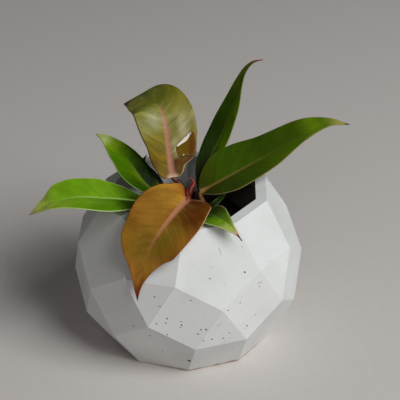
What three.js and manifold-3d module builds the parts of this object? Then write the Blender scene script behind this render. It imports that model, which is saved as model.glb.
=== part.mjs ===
// Young prince of orange philodendron growing in a faceted concrete pot.
// Millimetres, +Z up. The origin is the centre of the pot's flat base, and the
// pot's front pentagon faces -Y. The long leaf reaches towards +X.

import * as THREE from 'three';
import { ConvexGeometry } from 'three/addons/geometries/ConvexGeometry.js';
import { mergeVertices } from 'three/addons/utils/BufferGeometryUtils.js';
import Module from 'manifold-3d';

const wasm = await Module();
wasm.setup();

// Driving dimensions of the pot and its filling

const EDGE = 27; // length of every edge of the pot's facets
const WALL_AT_RIM = 5.4; // thickness of the flat rim, measured square to the inner wall
const FLOOR_THICKNESS = 12;
const CAVITY_TAPER = 4; // how much the cavity's corner radius shrinks down to the floor
const GAP = 0.3; // clearance between neighbouring pieces
const SOIL_EDGE_DEPTH = 22; // rim down to the soil where it meets the wall
const SOIL_MOUND = 2.5; // how much the soil rises around the stem
const MOUND_INSET = 6; // level soil left between the mound's foot and the wall
const CUT_PAST = 5; // how far a cut runs on past the face it opens

// Driving dimensions of the plant

const STEM_X = 4;
const STEM_Y = 1;
const STEM_RADIUS = 3.5;
const STEM_TOP = 75.5;
const STEM_DEPTH = 7; // how far the stem stands in the soil
const BLADE_THICKNESS = 0.7;
const MIDRIB_DEPTH = 0.7; // how far the midrib stands proud under the blade at its base
const STALK_RADIUS = 1.4;
const STALK_TAPER = [1.15, 1, 0.95, 0.75, 0.4]; // radius from the stem to under the blade
const STALK_UNDER_BLADE = 0.5; // how far the stalk's axis lies below the midrib it joins
const LEAST_HALF_WIDTH = 0.35;
const LOBE_SHARE = 0.3; // share of the blade's length that a lobe bends back

const radians = THREE.MathUtils.degToRad;

// Closed meshes as solids, and back

function toSolid(geometry) {
  const g = geometry.clone();
  g.deleteAttribute('normal');
  g.deleteAttribute('uv');
  const merged = mergeVertices(g, 1e-4);
  return new wasm.Manifold(new wasm.Mesh({
    numProp: 3,
    vertProperties: new Float32Array(merged.attributes.position.array),
    triVerts: new Uint32Array(merged.index.array),
  }));
}

function fromSolid(solid) {
  const { vertProperties, triVerts, numProp } = solid.getMesh();
  const positions = new Float32Array((vertProperties.length / numProp) * 3);
  for (let i = 0; i < vertProperties.length / numProp; i += 1) {
    positions.set(vertProperties.subarray(i * numProp, i * numProp + 3), i * 3);
  }
  const g = new THREE.BufferGeometry();
  g.setAttribute('position', new THREE.BufferAttribute(positions, 3));
  g.setIndex(new THREE.BufferAttribute(new Uint32Array(triVerts), 1));
  g.computeVertexNormals();
  return g;
}

// A polygonal prism or frustum standing on z = bottom, with corners at multiples of the step

function frustum(topRadius, bottomRadius, bottom, top, sides) {
  const g = new THREE.CylinderGeometry(topRadius, bottomRadius, top - bottom, sides);
  g.rotateX(Math.PI / 2);
  g.rotateZ(Math.PI / 2);
  g.translate(0, 0, (top + bottom) / 2);
  return g;
}

// The pot's outside: the solid of squares, triangles and pentagons with equal edges,
// without its top and bottom caps, so that both ends are regular decagons.
// Each ring is a height above the middle and a radius, both in edge lengths,
// then the azimuth of its first corner or pair of corners and half the pair's spread.

const END_HEIGHT = 1.5388; // either flat end from the middle, in edge lengths
const END_RADIUS = 1.618; // corner radius of either flat end, in edge lengths
const POT_HEIGHT = 2 * END_HEIGHT * EDGE;
const POT_RINGS = [
  { height: END_HEIGHT, radius: END_RADIUS, first: 18, spread: 18 },
  { height: 0.6882, radius: 2.1243, first: 18, spread: 13.61 },
  { height: 0.1625, radius: 2.227, first: 54, spread: 0 },
  { height: -0.1625, radius: 2.227, first: 18, spread: 0 },
  { height: -0.6882, radius: 2.1243, first: 54, spread: 13.61 },
  { height: -END_HEIGHT, radius: END_RADIUS, first: 18, spread: 18 },
];

function potCorners() {
  const corners = [];
  for (const ring of POT_RINGS) {
    for (let k = 0; k < 5; k += 1) {
      const sides = ring.spread > 0 ? [-ring.spread, ring.spread] : [0];
      for (const side of sides) {
        const azimuth = radians(ring.first + 72 * k + side);
        corners.push(new THREE.Vector3(
          ring.radius * EDGE * Math.cos(azimuth),
          ring.radius * EDGE * Math.sin(azimuth),
          (ring.height + END_HEIGHT) * EDGE,
        ));
      }
    }
  }
  return corners;
}

const RIM_SIDES = 10;
const HALF_SIDE = Math.PI / RIM_SIDES;
const CAVITY_TOP_RADIUS = END_RADIUS * EDGE - WALL_AT_RIM / Math.cos(HALF_SIDE);
const CAVITY_BOTTOM_RADIUS = CAVITY_TOP_RADIUS - CAVITY_TAPER;
const CAVITY_SLOPE = CAVITY_TAPER / (POT_HEIGHT - FLOOR_THICKNESS);

// Corner radius of the cavity at a height

function cavityRadius(z) {
  return CAVITY_BOTTOM_RADIUS + CAVITY_SLOPE * (z - FLOOR_THICKNESS);
}

function makePot() {
  const outside = toSolid(new ConvexGeometry(potCorners()));
  const top = POT_HEIGHT + CUT_PAST;
  const cavity = frustum(cavityRadius(top), CAVITY_BOTTOM_RADIUS, FLOOR_THICKNESS, top, RIM_SIDES);
  return fromSolid(outside.subtract(toSolid(cavity)));
}

// Soil: fills the cavity, mounded round the stem, with a plain hole for the stem

const SOIL_EDGE = POT_HEIGHT - SOIL_EDGE_DEPTH;
const SOIL_TOP = SOIL_EDGE + SOIL_MOUND;
const STEM_BOTTOM = SOIL_TOP - STEM_DEPTH;

function makeSoil() {
  const low = FLOOR_THICKNESS + GAP;
  const inset = GAP / Math.cos(HALF_SIDE);
  const topRadius = cavityRadius(SOIL_EDGE) - inset;
  const body = frustum(topRadius, cavityRadius(low) - inset, low, SOIL_EDGE, RIM_SIDES);
  const foot = 1;
  const mound = new THREE.ConeGeometry(topRadius - MOUND_INSET, SOIL_MOUND + foot, 20);
  mound.rotateX(Math.PI / 2);
  mound.translate(0, 0, SOIL_EDGE + (SOIL_MOUND - foot) / 2);
  const holeRadius = STEM_RADIUS + GAP;
  const hole = frustum(holeRadius, holeRadius, STEM_BOTTOM - GAP, SOIL_TOP + CUT_PAST, 24);
  hole.translate(STEM_X, STEM_Y, 0);
  return fromSolid(toSolid(body).add(toSolid(mound)).subtract(toSolid(hole)));
}

// Stem: short and stout, with two shallow rings where old leaves sat

function makeStem() {
  const r = STEM_RADIUS;
  const profile = [
    [0, STEM_BOTTOM],
    [r - 0.6, STEM_BOTTOM],
    [r - 0.3, STEM_BOTTOM + 2],
    [r, STEM_BOTTOM + 6],
    [r - 0.4, STEM_BOTTOM + 8],
    [r, STEM_BOTTOM + 11],
    [r - 0.4, STEM_BOTTOM + 13],
    [r - 0.1, STEM_TOP - 2.5],
    [r - 1, STEM_TOP - 0.7],
    [0, STEM_TOP],
  ];
  const g = new THREE.LatheGeometry(profile.map(([x, y]) => new THREE.Vector2(x, y)), 16);
  g.rotateX(Math.PI / 2);
  g.translate(STEM_X, STEM_Y, 0);
  return fromSolid(toSolid(g));
}

// A closed round rod along a curve, with a radius at each of its rings

function sweptRod(points, radii, rings, sides) {
  const path = new THREE.CatmullRomCurve3(points.map((p) => new THREE.Vector3(...p)));
  const size = new THREE.CatmullRomCurve3(radii.map((r, k) => new THREE.Vector3(k, r, 0)));
  const positions = [];
  const side = new THREE.Vector3(1, 0.2, 0.1);
  for (let i = 0; i <= rings; i += 1) {
    const t = i / rings;
    const centre = path.getPointAt(t);
    const along = path.getTangentAt(t);
    side.addScaledVector(along, -side.dot(along)).normalize();
    const other = new THREE.Vector3().crossVectors(along, side);
    const radius = size.getPoint(t).y;
    for (let j = 0; j < sides; j += 1) {
      const a = (2 * Math.PI * j) / sides;
      const p = centre.clone();
      p.addScaledVector(side, radius * Math.cos(a));
      p.addScaledVector(other, radius * Math.sin(a));
      positions.push(p.x, p.y, p.z);
    }
  }
  const first = positions.length / 3;
  const start = path.getPointAt(0);
  const end = path.getPointAt(1);
  positions.push(start.x, start.y, start.z, end.x, end.y, end.z);
  const index = [];
  for (let i = 0; i < rings; i += 1) {
    for (let j = 0; j < sides; j += 1) {
      const a = i * sides + j;
      const b = i * sides + ((j + 1) % sides);
      index.push(a, b, b + sides, a, b + sides, a + sides);
    }
  }
  for (let j = 0; j < sides; j += 1) {
    const next = (j + 1) % sides;
    index.push(first, next, j);
    index.push(first + 1, rings * sides + j, rings * sides + next);
  }
  const g = new THREE.BufferGeometry();
  g.setAttribute('position', new THREE.BufferAttribute(new Float32Array(positions), 3));
  g.setIndex(index);
  return g;
}

// A list of values spread evenly from the blade's base to its tip, read between them

function spread(values, s) {
  const x = s * (values.length - 1);
  const i = Math.min(Math.floor(x), values.length - 2);
  return values[i].map((v, k) => THREE.MathUtils.lerp(v, values[i + 1][k], x - i));
}

// Middle surface of a blade, as rows of points from base to tip and from left margin
// to right margin, with the face that looks up turned up.
//   rib      points along the midrib
//   facing   directions the upper face looks in, spread from base to tip
//   outline  share of the length from the base, left half width, right half width
//   fold     angle of each half above the midrib's plane, left and right, in degrees
//   curl     how much more each half turns up towards its margin, in degrees
//   lobe     how far each half reaches back past the stalk at the base
//   wave     height of the margin's waves, number of waves, left phase, right phase

const COLUMNS = [0, 0.12, 0.35, 0.68, 1];
const LOBE_TURN = 2.5; // how far the curve of a lobe's back edge turns, in radians

function bladeRows(leaf, rows) {
  const rib = new THREE.CatmullRomCurve3(leaf.rib.map((p) => new THREE.Vector3(...p)));
  rib.arcLengthDivisions = 400;
  const outline = new THREE.CatmullRomCurve3(leaf.outline.map((p) => new THREE.Vector3(...p)));
  const lobe = leaf.lobe ?? [0, 0];
  const wave = leaf.wave ?? [0, 3, 0, 0];
  const result = [];
  for (let i = 0; i <= rows; i += 1) {
    const shape = outline.getPoint(i / rows);
    const s = THREE.MathUtils.clamp(shape.x, 0, 1);
    const centre = rib.getPointAt(s);
    const before = rib.getPointAt(Math.max(s - 0.01, 0));
    const along = rib.getPointAt(Math.min(s + 0.01, 1)).sub(before).normalize();
    const normal = new THREE.Vector3(...spread(leaf.facing, s));
    normal.addScaledVector(along, -normal.dot(along)).normalize();
    const right = new THREE.Vector3().crossVectors(along, normal);
    const fold = spread(leaf.fold, s).map(radians);
    const curl = spread(leaf.curl, s).map(radians);
    const nearBase = THREE.MathUtils.clamp(1 - s / LOBE_SHARE, 0, 1) ** 2;
    const ripple = Math.sqrt(Math.max(4 * s * (1 - s), 0));
    const row = [];
    for (const side of [0, 1]) {
      const width = Math.max(side === 0 ? shape.y : shape.z, LEAST_HALF_WIDTH);
      const sign = side === 0 ? -1 : 1;
      const half = COLUMNS.map((v) => {
        const angle = fold[side] + (curl[side] * v) / 2;
        const phase = 2 * Math.PI * wave[1] * s + wave[2 + side];
        const lift = wave[0] * Math.sin(phase) * v * v * ripple;
        const p = centre.clone();
        p.addScaledVector(right, sign * width * v * Math.cos(angle));
        p.addScaledVector(normal, width * v * Math.sin(angle) + lift);
        p.addScaledVector(along, -lobe[side] * Math.sin(LOBE_TURN * v ** 0.8) * nearBase);
        return p;
      });
      row.push(...(side === 0 ? half.slice(1).reverse() : half));
    }
    result.push(row);
  }
  return result;
}

// The blade as a closed sheet: the same triangles above and below the middle surface,
// thicker under the midrib, and drawn to one point at the tip

function bladeGeometry(leaf, rows) {
  const grid = bladeRows(leaf, rows);
  const columns = grid[0].length;
  const middle = (columns - 1) / 2;
  const positions = [];
  const faces = [[], []];
  for (let i = 0; i <= rows; i += 1) {
    for (let j = 0; j < columns; j += 1) {
      if (i === rows && j !== middle) {
        continue;
      }
      const a = grid[Math.max(i - 1, 0)][j];
      const b = grid[Math.min(i + 1, rows)][j];
      const c = grid[i][Math.max(j - 1, 0)];
      const d = grid[i][Math.min(j + 1, columns - 1)];
      const along = new THREE.Vector3().subVectors(b, a);
      const across = new THREE.Vector3().subVectors(d, c);
      const normal = new THREE.Vector3().crossVectors(across, along).normalize();
      const ridge = j === middle ? MIDRIB_DEPTH * (1 - 0.8 * (i / rows)) : 0;
      [BLADE_THICKNESS / 2, -BLADE_THICKNESS / 2 - ridge].forEach((offset, face) => {
        const p = grid[i][j].clone().addScaledVector(normal, offset);
        faces[face].push(positions.length / 3);
        positions.push(p.x, p.y, p.z);
      });
    }
  }
  const index = [];
  const point = (face, i, j) => (i === rows ? faces[face][rows * columns] : faces[face][i * columns + j]);
  const quad = (a, b, c, d) => {
    if (a !== b && b !== c && a !== c) {
      index.push(a, b, c);
    }
    if (a !== c && c !== d && a !== d) {
      index.push(a, c, d);
    }
  };
  for (let i = 0; i < rows; i += 1) {
    for (let j = 0; j < columns - 1; j += 1) {
      const [a, b, c, d] = [[i, j], [i, j + 1], [i + 1, j + 1], [i + 1, j]].map(([m, n]) => point(0, m, n));
      const [e, f, g, h] = [[i, j], [i, j + 1], [i + 1, j + 1], [i + 1, j]].map(([m, n]) => point(1, m, n));
      if (j < middle) {
        quad(a, b, c, d);
        quad(h, g, f, e);
      } else {
        quad(b, c, d, a);
        quad(e, h, g, f);
      }
    }
  }
  for (let i = 0; i < rows; i += 1) {
    const last = columns - 1;
    quad(point(1, i, 0), point(0, i, 0), point(0, i + 1, 0), point(1, i + 1, 0));
    quad(point(0, i, last), point(1, i, last), point(1, i + 1, last), point(0, i + 1, last));
  }
  for (let j = 0; j < columns - 1; j += 1) {
    quad(point(0, 0, j), point(1, 0, j), point(1, 0, j + 1), point(0, 0, j + 1));
  }
  const g = new THREE.BufferGeometry();
  g.setAttribute('position', new THREE.BufferAttribute(new Float32Array(positions), 3));
  g.setIndex(index);
  return g;
}

// A whole leaf: the blade joined to its stalk, which runs on under the midrib's start

function makeLeaf(leaf) {
  const rib = new THREE.CatmullRomCurve3(leaf.rib.map((p) => new THREE.Vector3(...p)));
  const facing = new THREE.Vector3(...leaf.facing[0]).normalize();
  const under = [0.05, 0.11, 0.17].map((s) => {
    return rib.getPointAt(s).addScaledVector(facing, -STALK_UNDER_BLADE).toArray();
  });
  const radius = leaf.stalkRadius ?? STALK_RADIUS;
  const radii = STALK_TAPER.map((share) => share * radius);
  const stalk = sweptRod([...leaf.stalk, ...under], radii, 12, 8);
  const blade = bladeGeometry(leaf, leaf.rows);
  return fromSolid(toSolid(blade).add(toSolid(stalk)));
}

// The leaves

const orangeFront = {
  rows: 22,
  stalk: [[1.7, -4.1, 71], [-0.3, -8, 79], [-3, -15, 86.5], [-5, -21, 88.5]],
  rib: [
    [-5, -21, 89], [-17, -36, 90], [-25, -42, 86], [-31, -44, 79],
    [-35, -45, 69], [-38.5, -47, 60], [-40, -49, 54],
  ],
  facing: [[0, -0.3, 1], [-0.2, -0.5, 1], [-0.4, -0.8, 0.8]],
  outline: [
    [0, 13, 13], [0.03, 14, 17], [0.08, 14.8, 20], [0.15, 15.3, 21.2], [0.3, 15.5, 20.5], [0.45, 15, 19],
    [0.58, 13, 17.5], [0.68, 8, 13.5], [0.78, 4, 7.5], [0.88, 1.6, 3.2], [1, 0, 0],
  ],
  fold: [[6, 6], [0, 0]],
  curl: [[-8, -8], [-5, -5]],
  lobe: [3.5, 9],
  wave: [0.5, 2.5, 0, 1],
};

const oliveBack = {
  rows: 24,
  stalk: [[2.3, 6.2, 68], [1.8, 5.8, 75], [0.9, 5.8, 79], [-0.5, 6.8, 82.5], [-2.5, 8.4, 84.7]],
  rib: [
    [-4, 9, 86], [-4, 12.5, 93.5], [-4, 15, 101], [-4, 18, 110.5], [-4.3, 22, 116.7],
    [-5.3, 28.5, 119.4], [-9, 36, 119.3], [-14, 42, 117], [-19, 46.5, 114],
  ],
  facing: [[0, -1, 0.4], [0, -1, 0.45], [0, -0.9, 0.6], [-0.1, -0.5, 1], [-0.3, 0, 1], [-0.5, 0.2, 1]],
  outline: [
    [0, 4.5, 1.5], [0.04, 7.2, 4.5], [0.1, 9, 8], [0.17, 10.5, 13], [0.26, 11.5, 15.3],
    [0.36, 13.8, 16], [0.48, 15.1, 16], [0.58, 15, 15.7], [0.68, 14, 15.2], [0.76, 12.5, 14],
    [0.84, 10, 11], [0.9, 7.2, 7], [0.95, 3.8, 3.5], [1, 0, 0],
  ],
  fold: [[12, 8], [12, 8], [8, 0]],
  curl: [[-16, -8], [-16, -8], [-30, -8]],
  wave: [0.5, 3, 2, 0],
};

const longRight = {
  rows: 20,
  stalk: [[9.6, 1.5, 67], [9, -1.2, 74], [7.3, -3.8, 81]],
  rib: [[7, -4, 82], [22, -4, 88], [42, -4, 96], [62, -4, 105], [76, -8, 111], [85, -13, 111.5]],
  facing: [[-0.2, -0.4, 1], [-0.2, -0.4, 1], [0, -0.3, 1]],
  outline: [
    [0, 2, 1.5], [0.03, 6.5, 4], [0.07, 10.2, 7], [0.13, 13.8, 9.5], [0.2, 15.8, 11.2], [0.3, 15.8, 11],
    [0.45, 13, 9.5], [0.6, 11, 6.8], [0.75, 9, 4], [0.88, 4, 2], [1, 0, 0],
  ],
  fold: [[10, 10], [5, 5]],
  curl: [[0, 0], [0, 0]],
};

const uprightRight = {
  rows: 18,
  stalk: [[7.2, 5.6, 66.5], [9, 7.5, 71], [10.8, 9.8, 75.5]],
  rib: [
    [11, 10, 76], [15.5, 14, 85.5], [21, 17, 92.5], [27, 20, 100.5], [31, 21.5, 108.5],
    [35, 22, 118], [37.5, 21, 127.5], [40, 18.5, 136], [43.5, 16.5, 140.5], [48, 14.5, 142],
  ],
  facing: [[-0.8, -0.6, 0.3], [-0.8, -0.6, 0.5]],
  outline: [
    [0, 2, 1], [0.1, 4.7, 4.5], [0.25, 7.5, 5.9], [0.4, 7.9, 6], [0.55, 6.4, 5],
    [0.68, 4.5, 3], [0.8, 2.5, 1.4], [0.9, 1.2, 0.7], [1, 0, 0],
  ],
  fold: [[20, 20], [10, 10]],
  curl: [[0, 0], [0, 0]],
};

const upperLeft = {
  rows: 16,
  stalk: [[-1.1, 3.3, 68], [-6, 3.6, 72.5], [-11.5, 4, 77]],
  rib: [[-12, 4, 78], [-19, 11, 85], [-24.5, 22, 94], [-32, 34, 101.5], [-36.5, 39, 103]],
  facing: [[0.3, -0.3, 1], [0.3, -0.4, 1]],
  outline: [
    [0, 2, 2], [0.1, 7.5, 5], [0.25, 13, 7.5], [0.4, 14.3, 7.9],
    [0.55, 12.5, 6.9], [0.7, 9, 5.7], [0.85, 4.8, 3.2], [1, 0, 0],
  ],
  fold: [[20, 20], [10, 10]],
  curl: [[0, 0], [0, 0]],
};

const lowerLeft = {
  rows: 18,
  stalk: [[-1.4, -0.4, 67], [-9, -1.6, 72.5], [-19.5, -3, 79]],
  rib: [
    [-20, -3, 80], [-32, -6, 86], [-45, -9, 91], [-58, -10, 94.5],
    [-70, -8, 93], [-76, -5, 89], [-81.5, -2, 85],
  ],
  facing: [[0.2, -0.2, 1], [0, -0.3, 1], [-0.3, -0.2, 1]],
  outline: [
    [0, 3, 2], [0.12, 8, 6], [0.25, 10.5, 9.5], [0.4, 12.5, 11.8], [0.55, 11, 12],
    [0.68, 7.5, 11.8], [0.78, 5, 10.5], [0.88, 2.7, 6], [1, 0, 0],
  ],
  fold: [[15, 15], [5, 5]],
  curl: [[0, 0], [0, 0]],
};

const smallFront = {
  rows: 14,
  stalk: [[4.8, -4, 67], [4, -10, 72.5], [1, -19, 78]],
  rib: [
    [1, -20, 79], [3.5, -29, 83], [5.5, -37, 85.5],
    [8, -43.5, 85.7], [10.5, -49, 83.3], [13, -52.5, 79],
  ],
  facing: [[0, -0.2, 1], [0.1, -0.5, 1]],
  outline: [[0, 2, 3], [0.2, 8.5, 8.5], [0.4, 7.5, 9.3], [0.6, 4.4, 7.5], [0.8, 1.2, 3.8], [1, 0, 0]],
  fold: [[10, -2], [10, 8]],
  curl: [[0, 0], [0, 0]],
};

const slimFront = {
  rows: 10,
  stalkRadius: 1,
  stalk: [[8.4, -2.2, 67], [8.8, -5, 71], [8.6, -7.6, 74]],
  rib: [[8.5, -8, 74.5], [11.5, -11, 77.5], [15, -9.5, 79], [20, -6, 80]],
  facing: [[-0.3, -1, 0.3], [-0.3, -1, 0.3]],
  outline: [[0, 1, 1], [0.3, 2, 1.8], [0.6, 1.7, 1.6], [0.85, 1, 1], [1, 0, 0]],
  fold: [[25, 25], [25, 25]],
  curl: [[0, 0], [0, 0]],
};

const slimBack = {
  rows: 10,
  stalkRadius: 1,
  stalk: [[-0.2, 5.5, 66], [-3, 10, 71], [-6.5, 15.5, 76]],
  rib: [[-7, 16, 77], [-11, 24, 81.5], [-13.5, 30, 84.5], [-13, 33, 86.5], [-11, 33.5, 88.7]],
  facing: [[0, -0.5, 1], [0, -1, 0.5]],
  outline: [[0, 1, 1], [0.3, 2.4, 2.4], [0.6, 2, 2], [0.85, 1, 1], [1, 0, 0]],
  fold: [[20, 20], [20, 20]],
  curl: [[0, 0], [0, 0]],
};

// The furled new leaf stands on top of the stem, widest a third of the way up

function makeNewLeaf() {
  const foot = [2.9, 0.5, STEM_TOP + 0.8];
  const points = [foot, [2.7, 0.5, 79.5], [4.2, 1.5, 82], [5.6, 2.5, 84.3], [3.7, 4.2, 87.8]];
  return fromSolid(toSolid(sweptRod(points, [1.3, 1.7, 1.5, 1, 0.3], 16, 10)));
}

// The scene graph

const concrete = new THREE.MeshStandardMaterial({ color: 0xcfd3d2, roughness: 0.85, metalness: 0 });
const earth = new THREE.MeshStandardMaterial({ color: 0x2a1d14, roughness: 0.95, metalness: 0 });
const stemSkin = new THREE.MeshStandardMaterial({ color: 0x6b4a2c, roughness: 0.6, metalness: 0 });

function leafMaterial(color, roughness) {
  return new THREE.MeshStandardMaterial({ color, roughness, metalness: 0 });
}

const group = new THREE.Group();

function place(name, geometry, material) {
  const mesh = new THREE.Mesh(geometry, material);
  mesh.name = name;
  group.add(mesh);
  return mesh;
}

place('pot', makePot(), concrete);
place('soil', makeSoil(), earth);
place('stem', makeStem(), stemSkin);
place('leaf_orange_front', makeLeaf(orangeFront), leafMaterial(0xa5732a, 0.4));
place('leaf_olive_back', makeLeaf(oliveBack), leafMaterial(0x7b7428, 0.3));
place('leaf_long_right', makeLeaf(longRight), leafMaterial(0x2f5212, 0.4));
place('leaf_upright_right', makeLeaf(uprightRight), leafMaterial(0x24400c, 0.4));
place('leaf_upper_left', makeLeaf(upperLeft), leafMaterial(0x3d7a17, 0.4));
place('leaf_lower_left', makeLeaf(lowerLeft), leafMaterial(0x5aa021, 0.4));
place('leaf_small_front', makeLeaf(smallFront), leafMaterial(0x5f9428, 0.4));
place('leaf_slim_front', makeLeaf(slimFront), leafMaterial(0x234a12, 0.45));
place('leaf_slim_back', makeLeaf(slimBack), leafMaterial(0x33301a, 0.5));
place('new_leaf', makeNewLeaf(), leafMaterial(0x9c2a1c, 0.35));

export default group;
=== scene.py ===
"""Young prince of orange philodendron in a faceted concrete pot.

Shapes are worked out in millimetres and become metres when a mesh is made. Colours are written as
they show on a screen: red, green and blue from 0 to 255.
"""

import math
import random
from bisect import bisect

import bmesh
import bpy
from mathutils import Matrix, Vector, noise
from mathutils.geometry import delaunay_2d_cdt


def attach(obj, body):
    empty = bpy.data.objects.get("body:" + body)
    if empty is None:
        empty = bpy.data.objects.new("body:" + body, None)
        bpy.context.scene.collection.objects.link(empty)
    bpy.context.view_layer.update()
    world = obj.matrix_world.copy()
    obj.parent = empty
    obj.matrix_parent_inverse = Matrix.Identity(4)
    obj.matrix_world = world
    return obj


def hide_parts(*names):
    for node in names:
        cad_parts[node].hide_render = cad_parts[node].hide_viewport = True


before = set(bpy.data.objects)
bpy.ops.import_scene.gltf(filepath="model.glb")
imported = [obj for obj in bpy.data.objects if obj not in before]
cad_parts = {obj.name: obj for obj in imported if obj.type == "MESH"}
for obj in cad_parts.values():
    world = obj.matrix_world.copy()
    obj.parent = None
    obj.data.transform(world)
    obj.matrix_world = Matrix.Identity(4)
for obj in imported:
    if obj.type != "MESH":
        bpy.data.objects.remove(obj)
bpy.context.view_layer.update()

MM = 0.001
UP = Vector((0, 0, 1))
FULL_TURN = 2 * math.pi
# Points of a mesh that are this near each other, in metres, become one
SAME_PLACE = 2e-8


# Small helpers


def clamp(x, low=0.0, high=1.0):
    return max(low, min(high, x))


def mix(a, b, share):
    return a + (b - a) * share


def smooth(x, low, high):
    """0 below low, 1 above high and a soft step between them."""
    t = clamp((x - low) / (high - low))
    return t * t * (3 - 2 * t)


def polar(radius, degrees, z):
    a = math.radians(degrees)
    return Vector((radius * math.cos(a), radius * math.sin(a), z))


def hermite(a, b, leaving, arriving, w):
    """From a to b as w goes from 0 to 1, with these slopes at the two ends."""
    return (
        a + leaving * w
        + (3 * (b - a) - 2 * leaving - arriving) * w * w
        + (2 * (a - b) + leaving + arriving) * w ** 3
    )


def spread(values, share):
    """A list of lists read smoothly between its entries, spread evenly from 0 to 1."""
    last = len(values) - 1
    x = clamp(share) * last
    i = min(int(x), last - 1)
    around = zip(values[max(i - 1, 0)], values[i], values[i + 1], values[min(i + 2, last)])
    return [hermite(b, c, (c - a) / 2, (d - b) / 2, x - i) for a, b, c, d in around]


class Curve:
    """A smooth curve through points: a Catmull-Rom spline with centripetal knots."""

    STEPS = 400

    def __init__(self, points):
        self.points = [Vector(p) for p in points]
        self.lengths = [0.0]
        last = self.at(0)
        for k in range(1, self.STEPS + 1):
            here = self.at(k / self.STEPS)
            self.lengths.append(self.lengths[-1] + (here - last).length)
            last = here
        self.length = self.lengths[-1]

    def at(self, t):
        """The point at t, where each stretch between two given points takes the same share of t."""
        points = self.points
        last = len(points) - 1
        i = min(int(last * t), last - 1)
        p1, p2 = points[i], points[i + 1]
        p0 = points[i - 1] if i > 0 else 2 * p1 - p2
        p3 = points[i + 2] if i + 2 <= last else 2 * p2 - p1
        d1 = math.sqrt((p2 - p1).length) or 1
        d0 = math.sqrt((p1 - p0).length) or d1
        d2 = math.sqrt((p3 - p2).length) or d1
        leaving = ((p1 - p0) / d0 - (p2 - p0) / (d0 + d1) + (p2 - p1) / d1) * d1
        arriving = ((p2 - p1) / d1 - (p3 - p1) / (d1 + d2) + (p3 - p2) / d2) * d1
        return hermite(p1, p2, leaving, arriving, last * t - i)

    def at_share(self, share):
        """The point at a share of the curve's length."""
        target = clamp(share) * self.length
        low = min(bisect(self.lengths, target), self.STEPS) - 1
        step = self.lengths[low + 1] - self.lengths[low]
        return self.at((low + (target - self.lengths[low]) / (step or 1)) / self.STEPS)

    def direction(self, share):
        return (self.at_share(share + 0.01) - self.at_share(share - 0.01)).normalized()


def ring_faces(rings, sides, start=0):
    """Faces between rings of points that follow one another, each ring closed on itself."""
    faces = []
    for i in range(rings):
        near, far = start + i * sides, start + (i + 1) * sides
        for j in range(sides):
            k = (j + 1) % sides
            faces.append([near + j, far + j, far + k, near + k])
    return faces


def flipped(faces):
    """The same faces seen from their other side."""
    return [face[:1] + face[:0:-1] for face in faces]


def show(name, data):
    """Puts a mesh, light or camera into the scene as an object."""
    thing = bpy.data.objects.new(name, data)
    bpy.context.scene.collection.objects.link(thing)
    return thing


def weld(mesh):
    """Joins points that lie on each other and drops faces with no area."""
    bm = bmesh.new()
    bm.from_mesh(mesh)
    bmesh.ops.remove_doubles(bm, verts=bm.verts, dist=SAME_PLACE)
    bmesh.ops.dissolve_degenerate(bm, dist=SAME_PLACE, edges=bm.edges)
    bm.to_mesh(mesh)
    bm.free()


class Body:
    """Points, faces and named values of one mesh, gathered before it is made."""

    def __init__(self):
        self.points = []
        self.faces = []
        self.skins = []
        self.values = {}

    def add(self, points, faces, skin=0, **values):
        """Adds a patch. Each value is a list with a number for each of its points."""
        start = len(self.points)
        self.points += points
        self.faces += [[start + k for k in face] for face in faces]
        self.skins += [skin] * len(faces)
        for name in {**self.values, **values}:
            column = self.values.setdefault(name, [0.0] * start)
            column += values.get(name, [0.0] * len(points))

    def make(self, name, *materials):
        mesh = bpy.data.meshes.new(name)
        mesh.from_pydata([p * MM for p in self.points], [], self.faces)
        for material in materials:
            mesh.materials.append(material)
        mesh.polygons.foreach_set("material_index", self.skins)
        mesh.polygons.foreach_set("use_smooth", [True] * len(self.faces))
        for value, column in self.values.items():
            mesh.attributes.new(value, "FLOAT", "POINT").data.foreach_set("value", column)
        weld(mesh)
        return show(name, mesh)


def dress(piece, slot, *nodes):
    """Puts a piece on the plant in place of its CAD nodes."""
    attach(piece, "root")
    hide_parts(*nodes)


# Node materials


def paint(red, green, blue):
    """A screen colour as the linear colour that shaders take."""
    def linear(c):
        c /= 255
        return c / 12.92 if c <= 0.04045 else ((c + 0.055) / 1.055) ** 2.4
    return (linear(red), linear(green), linear(blue), 1)


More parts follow.
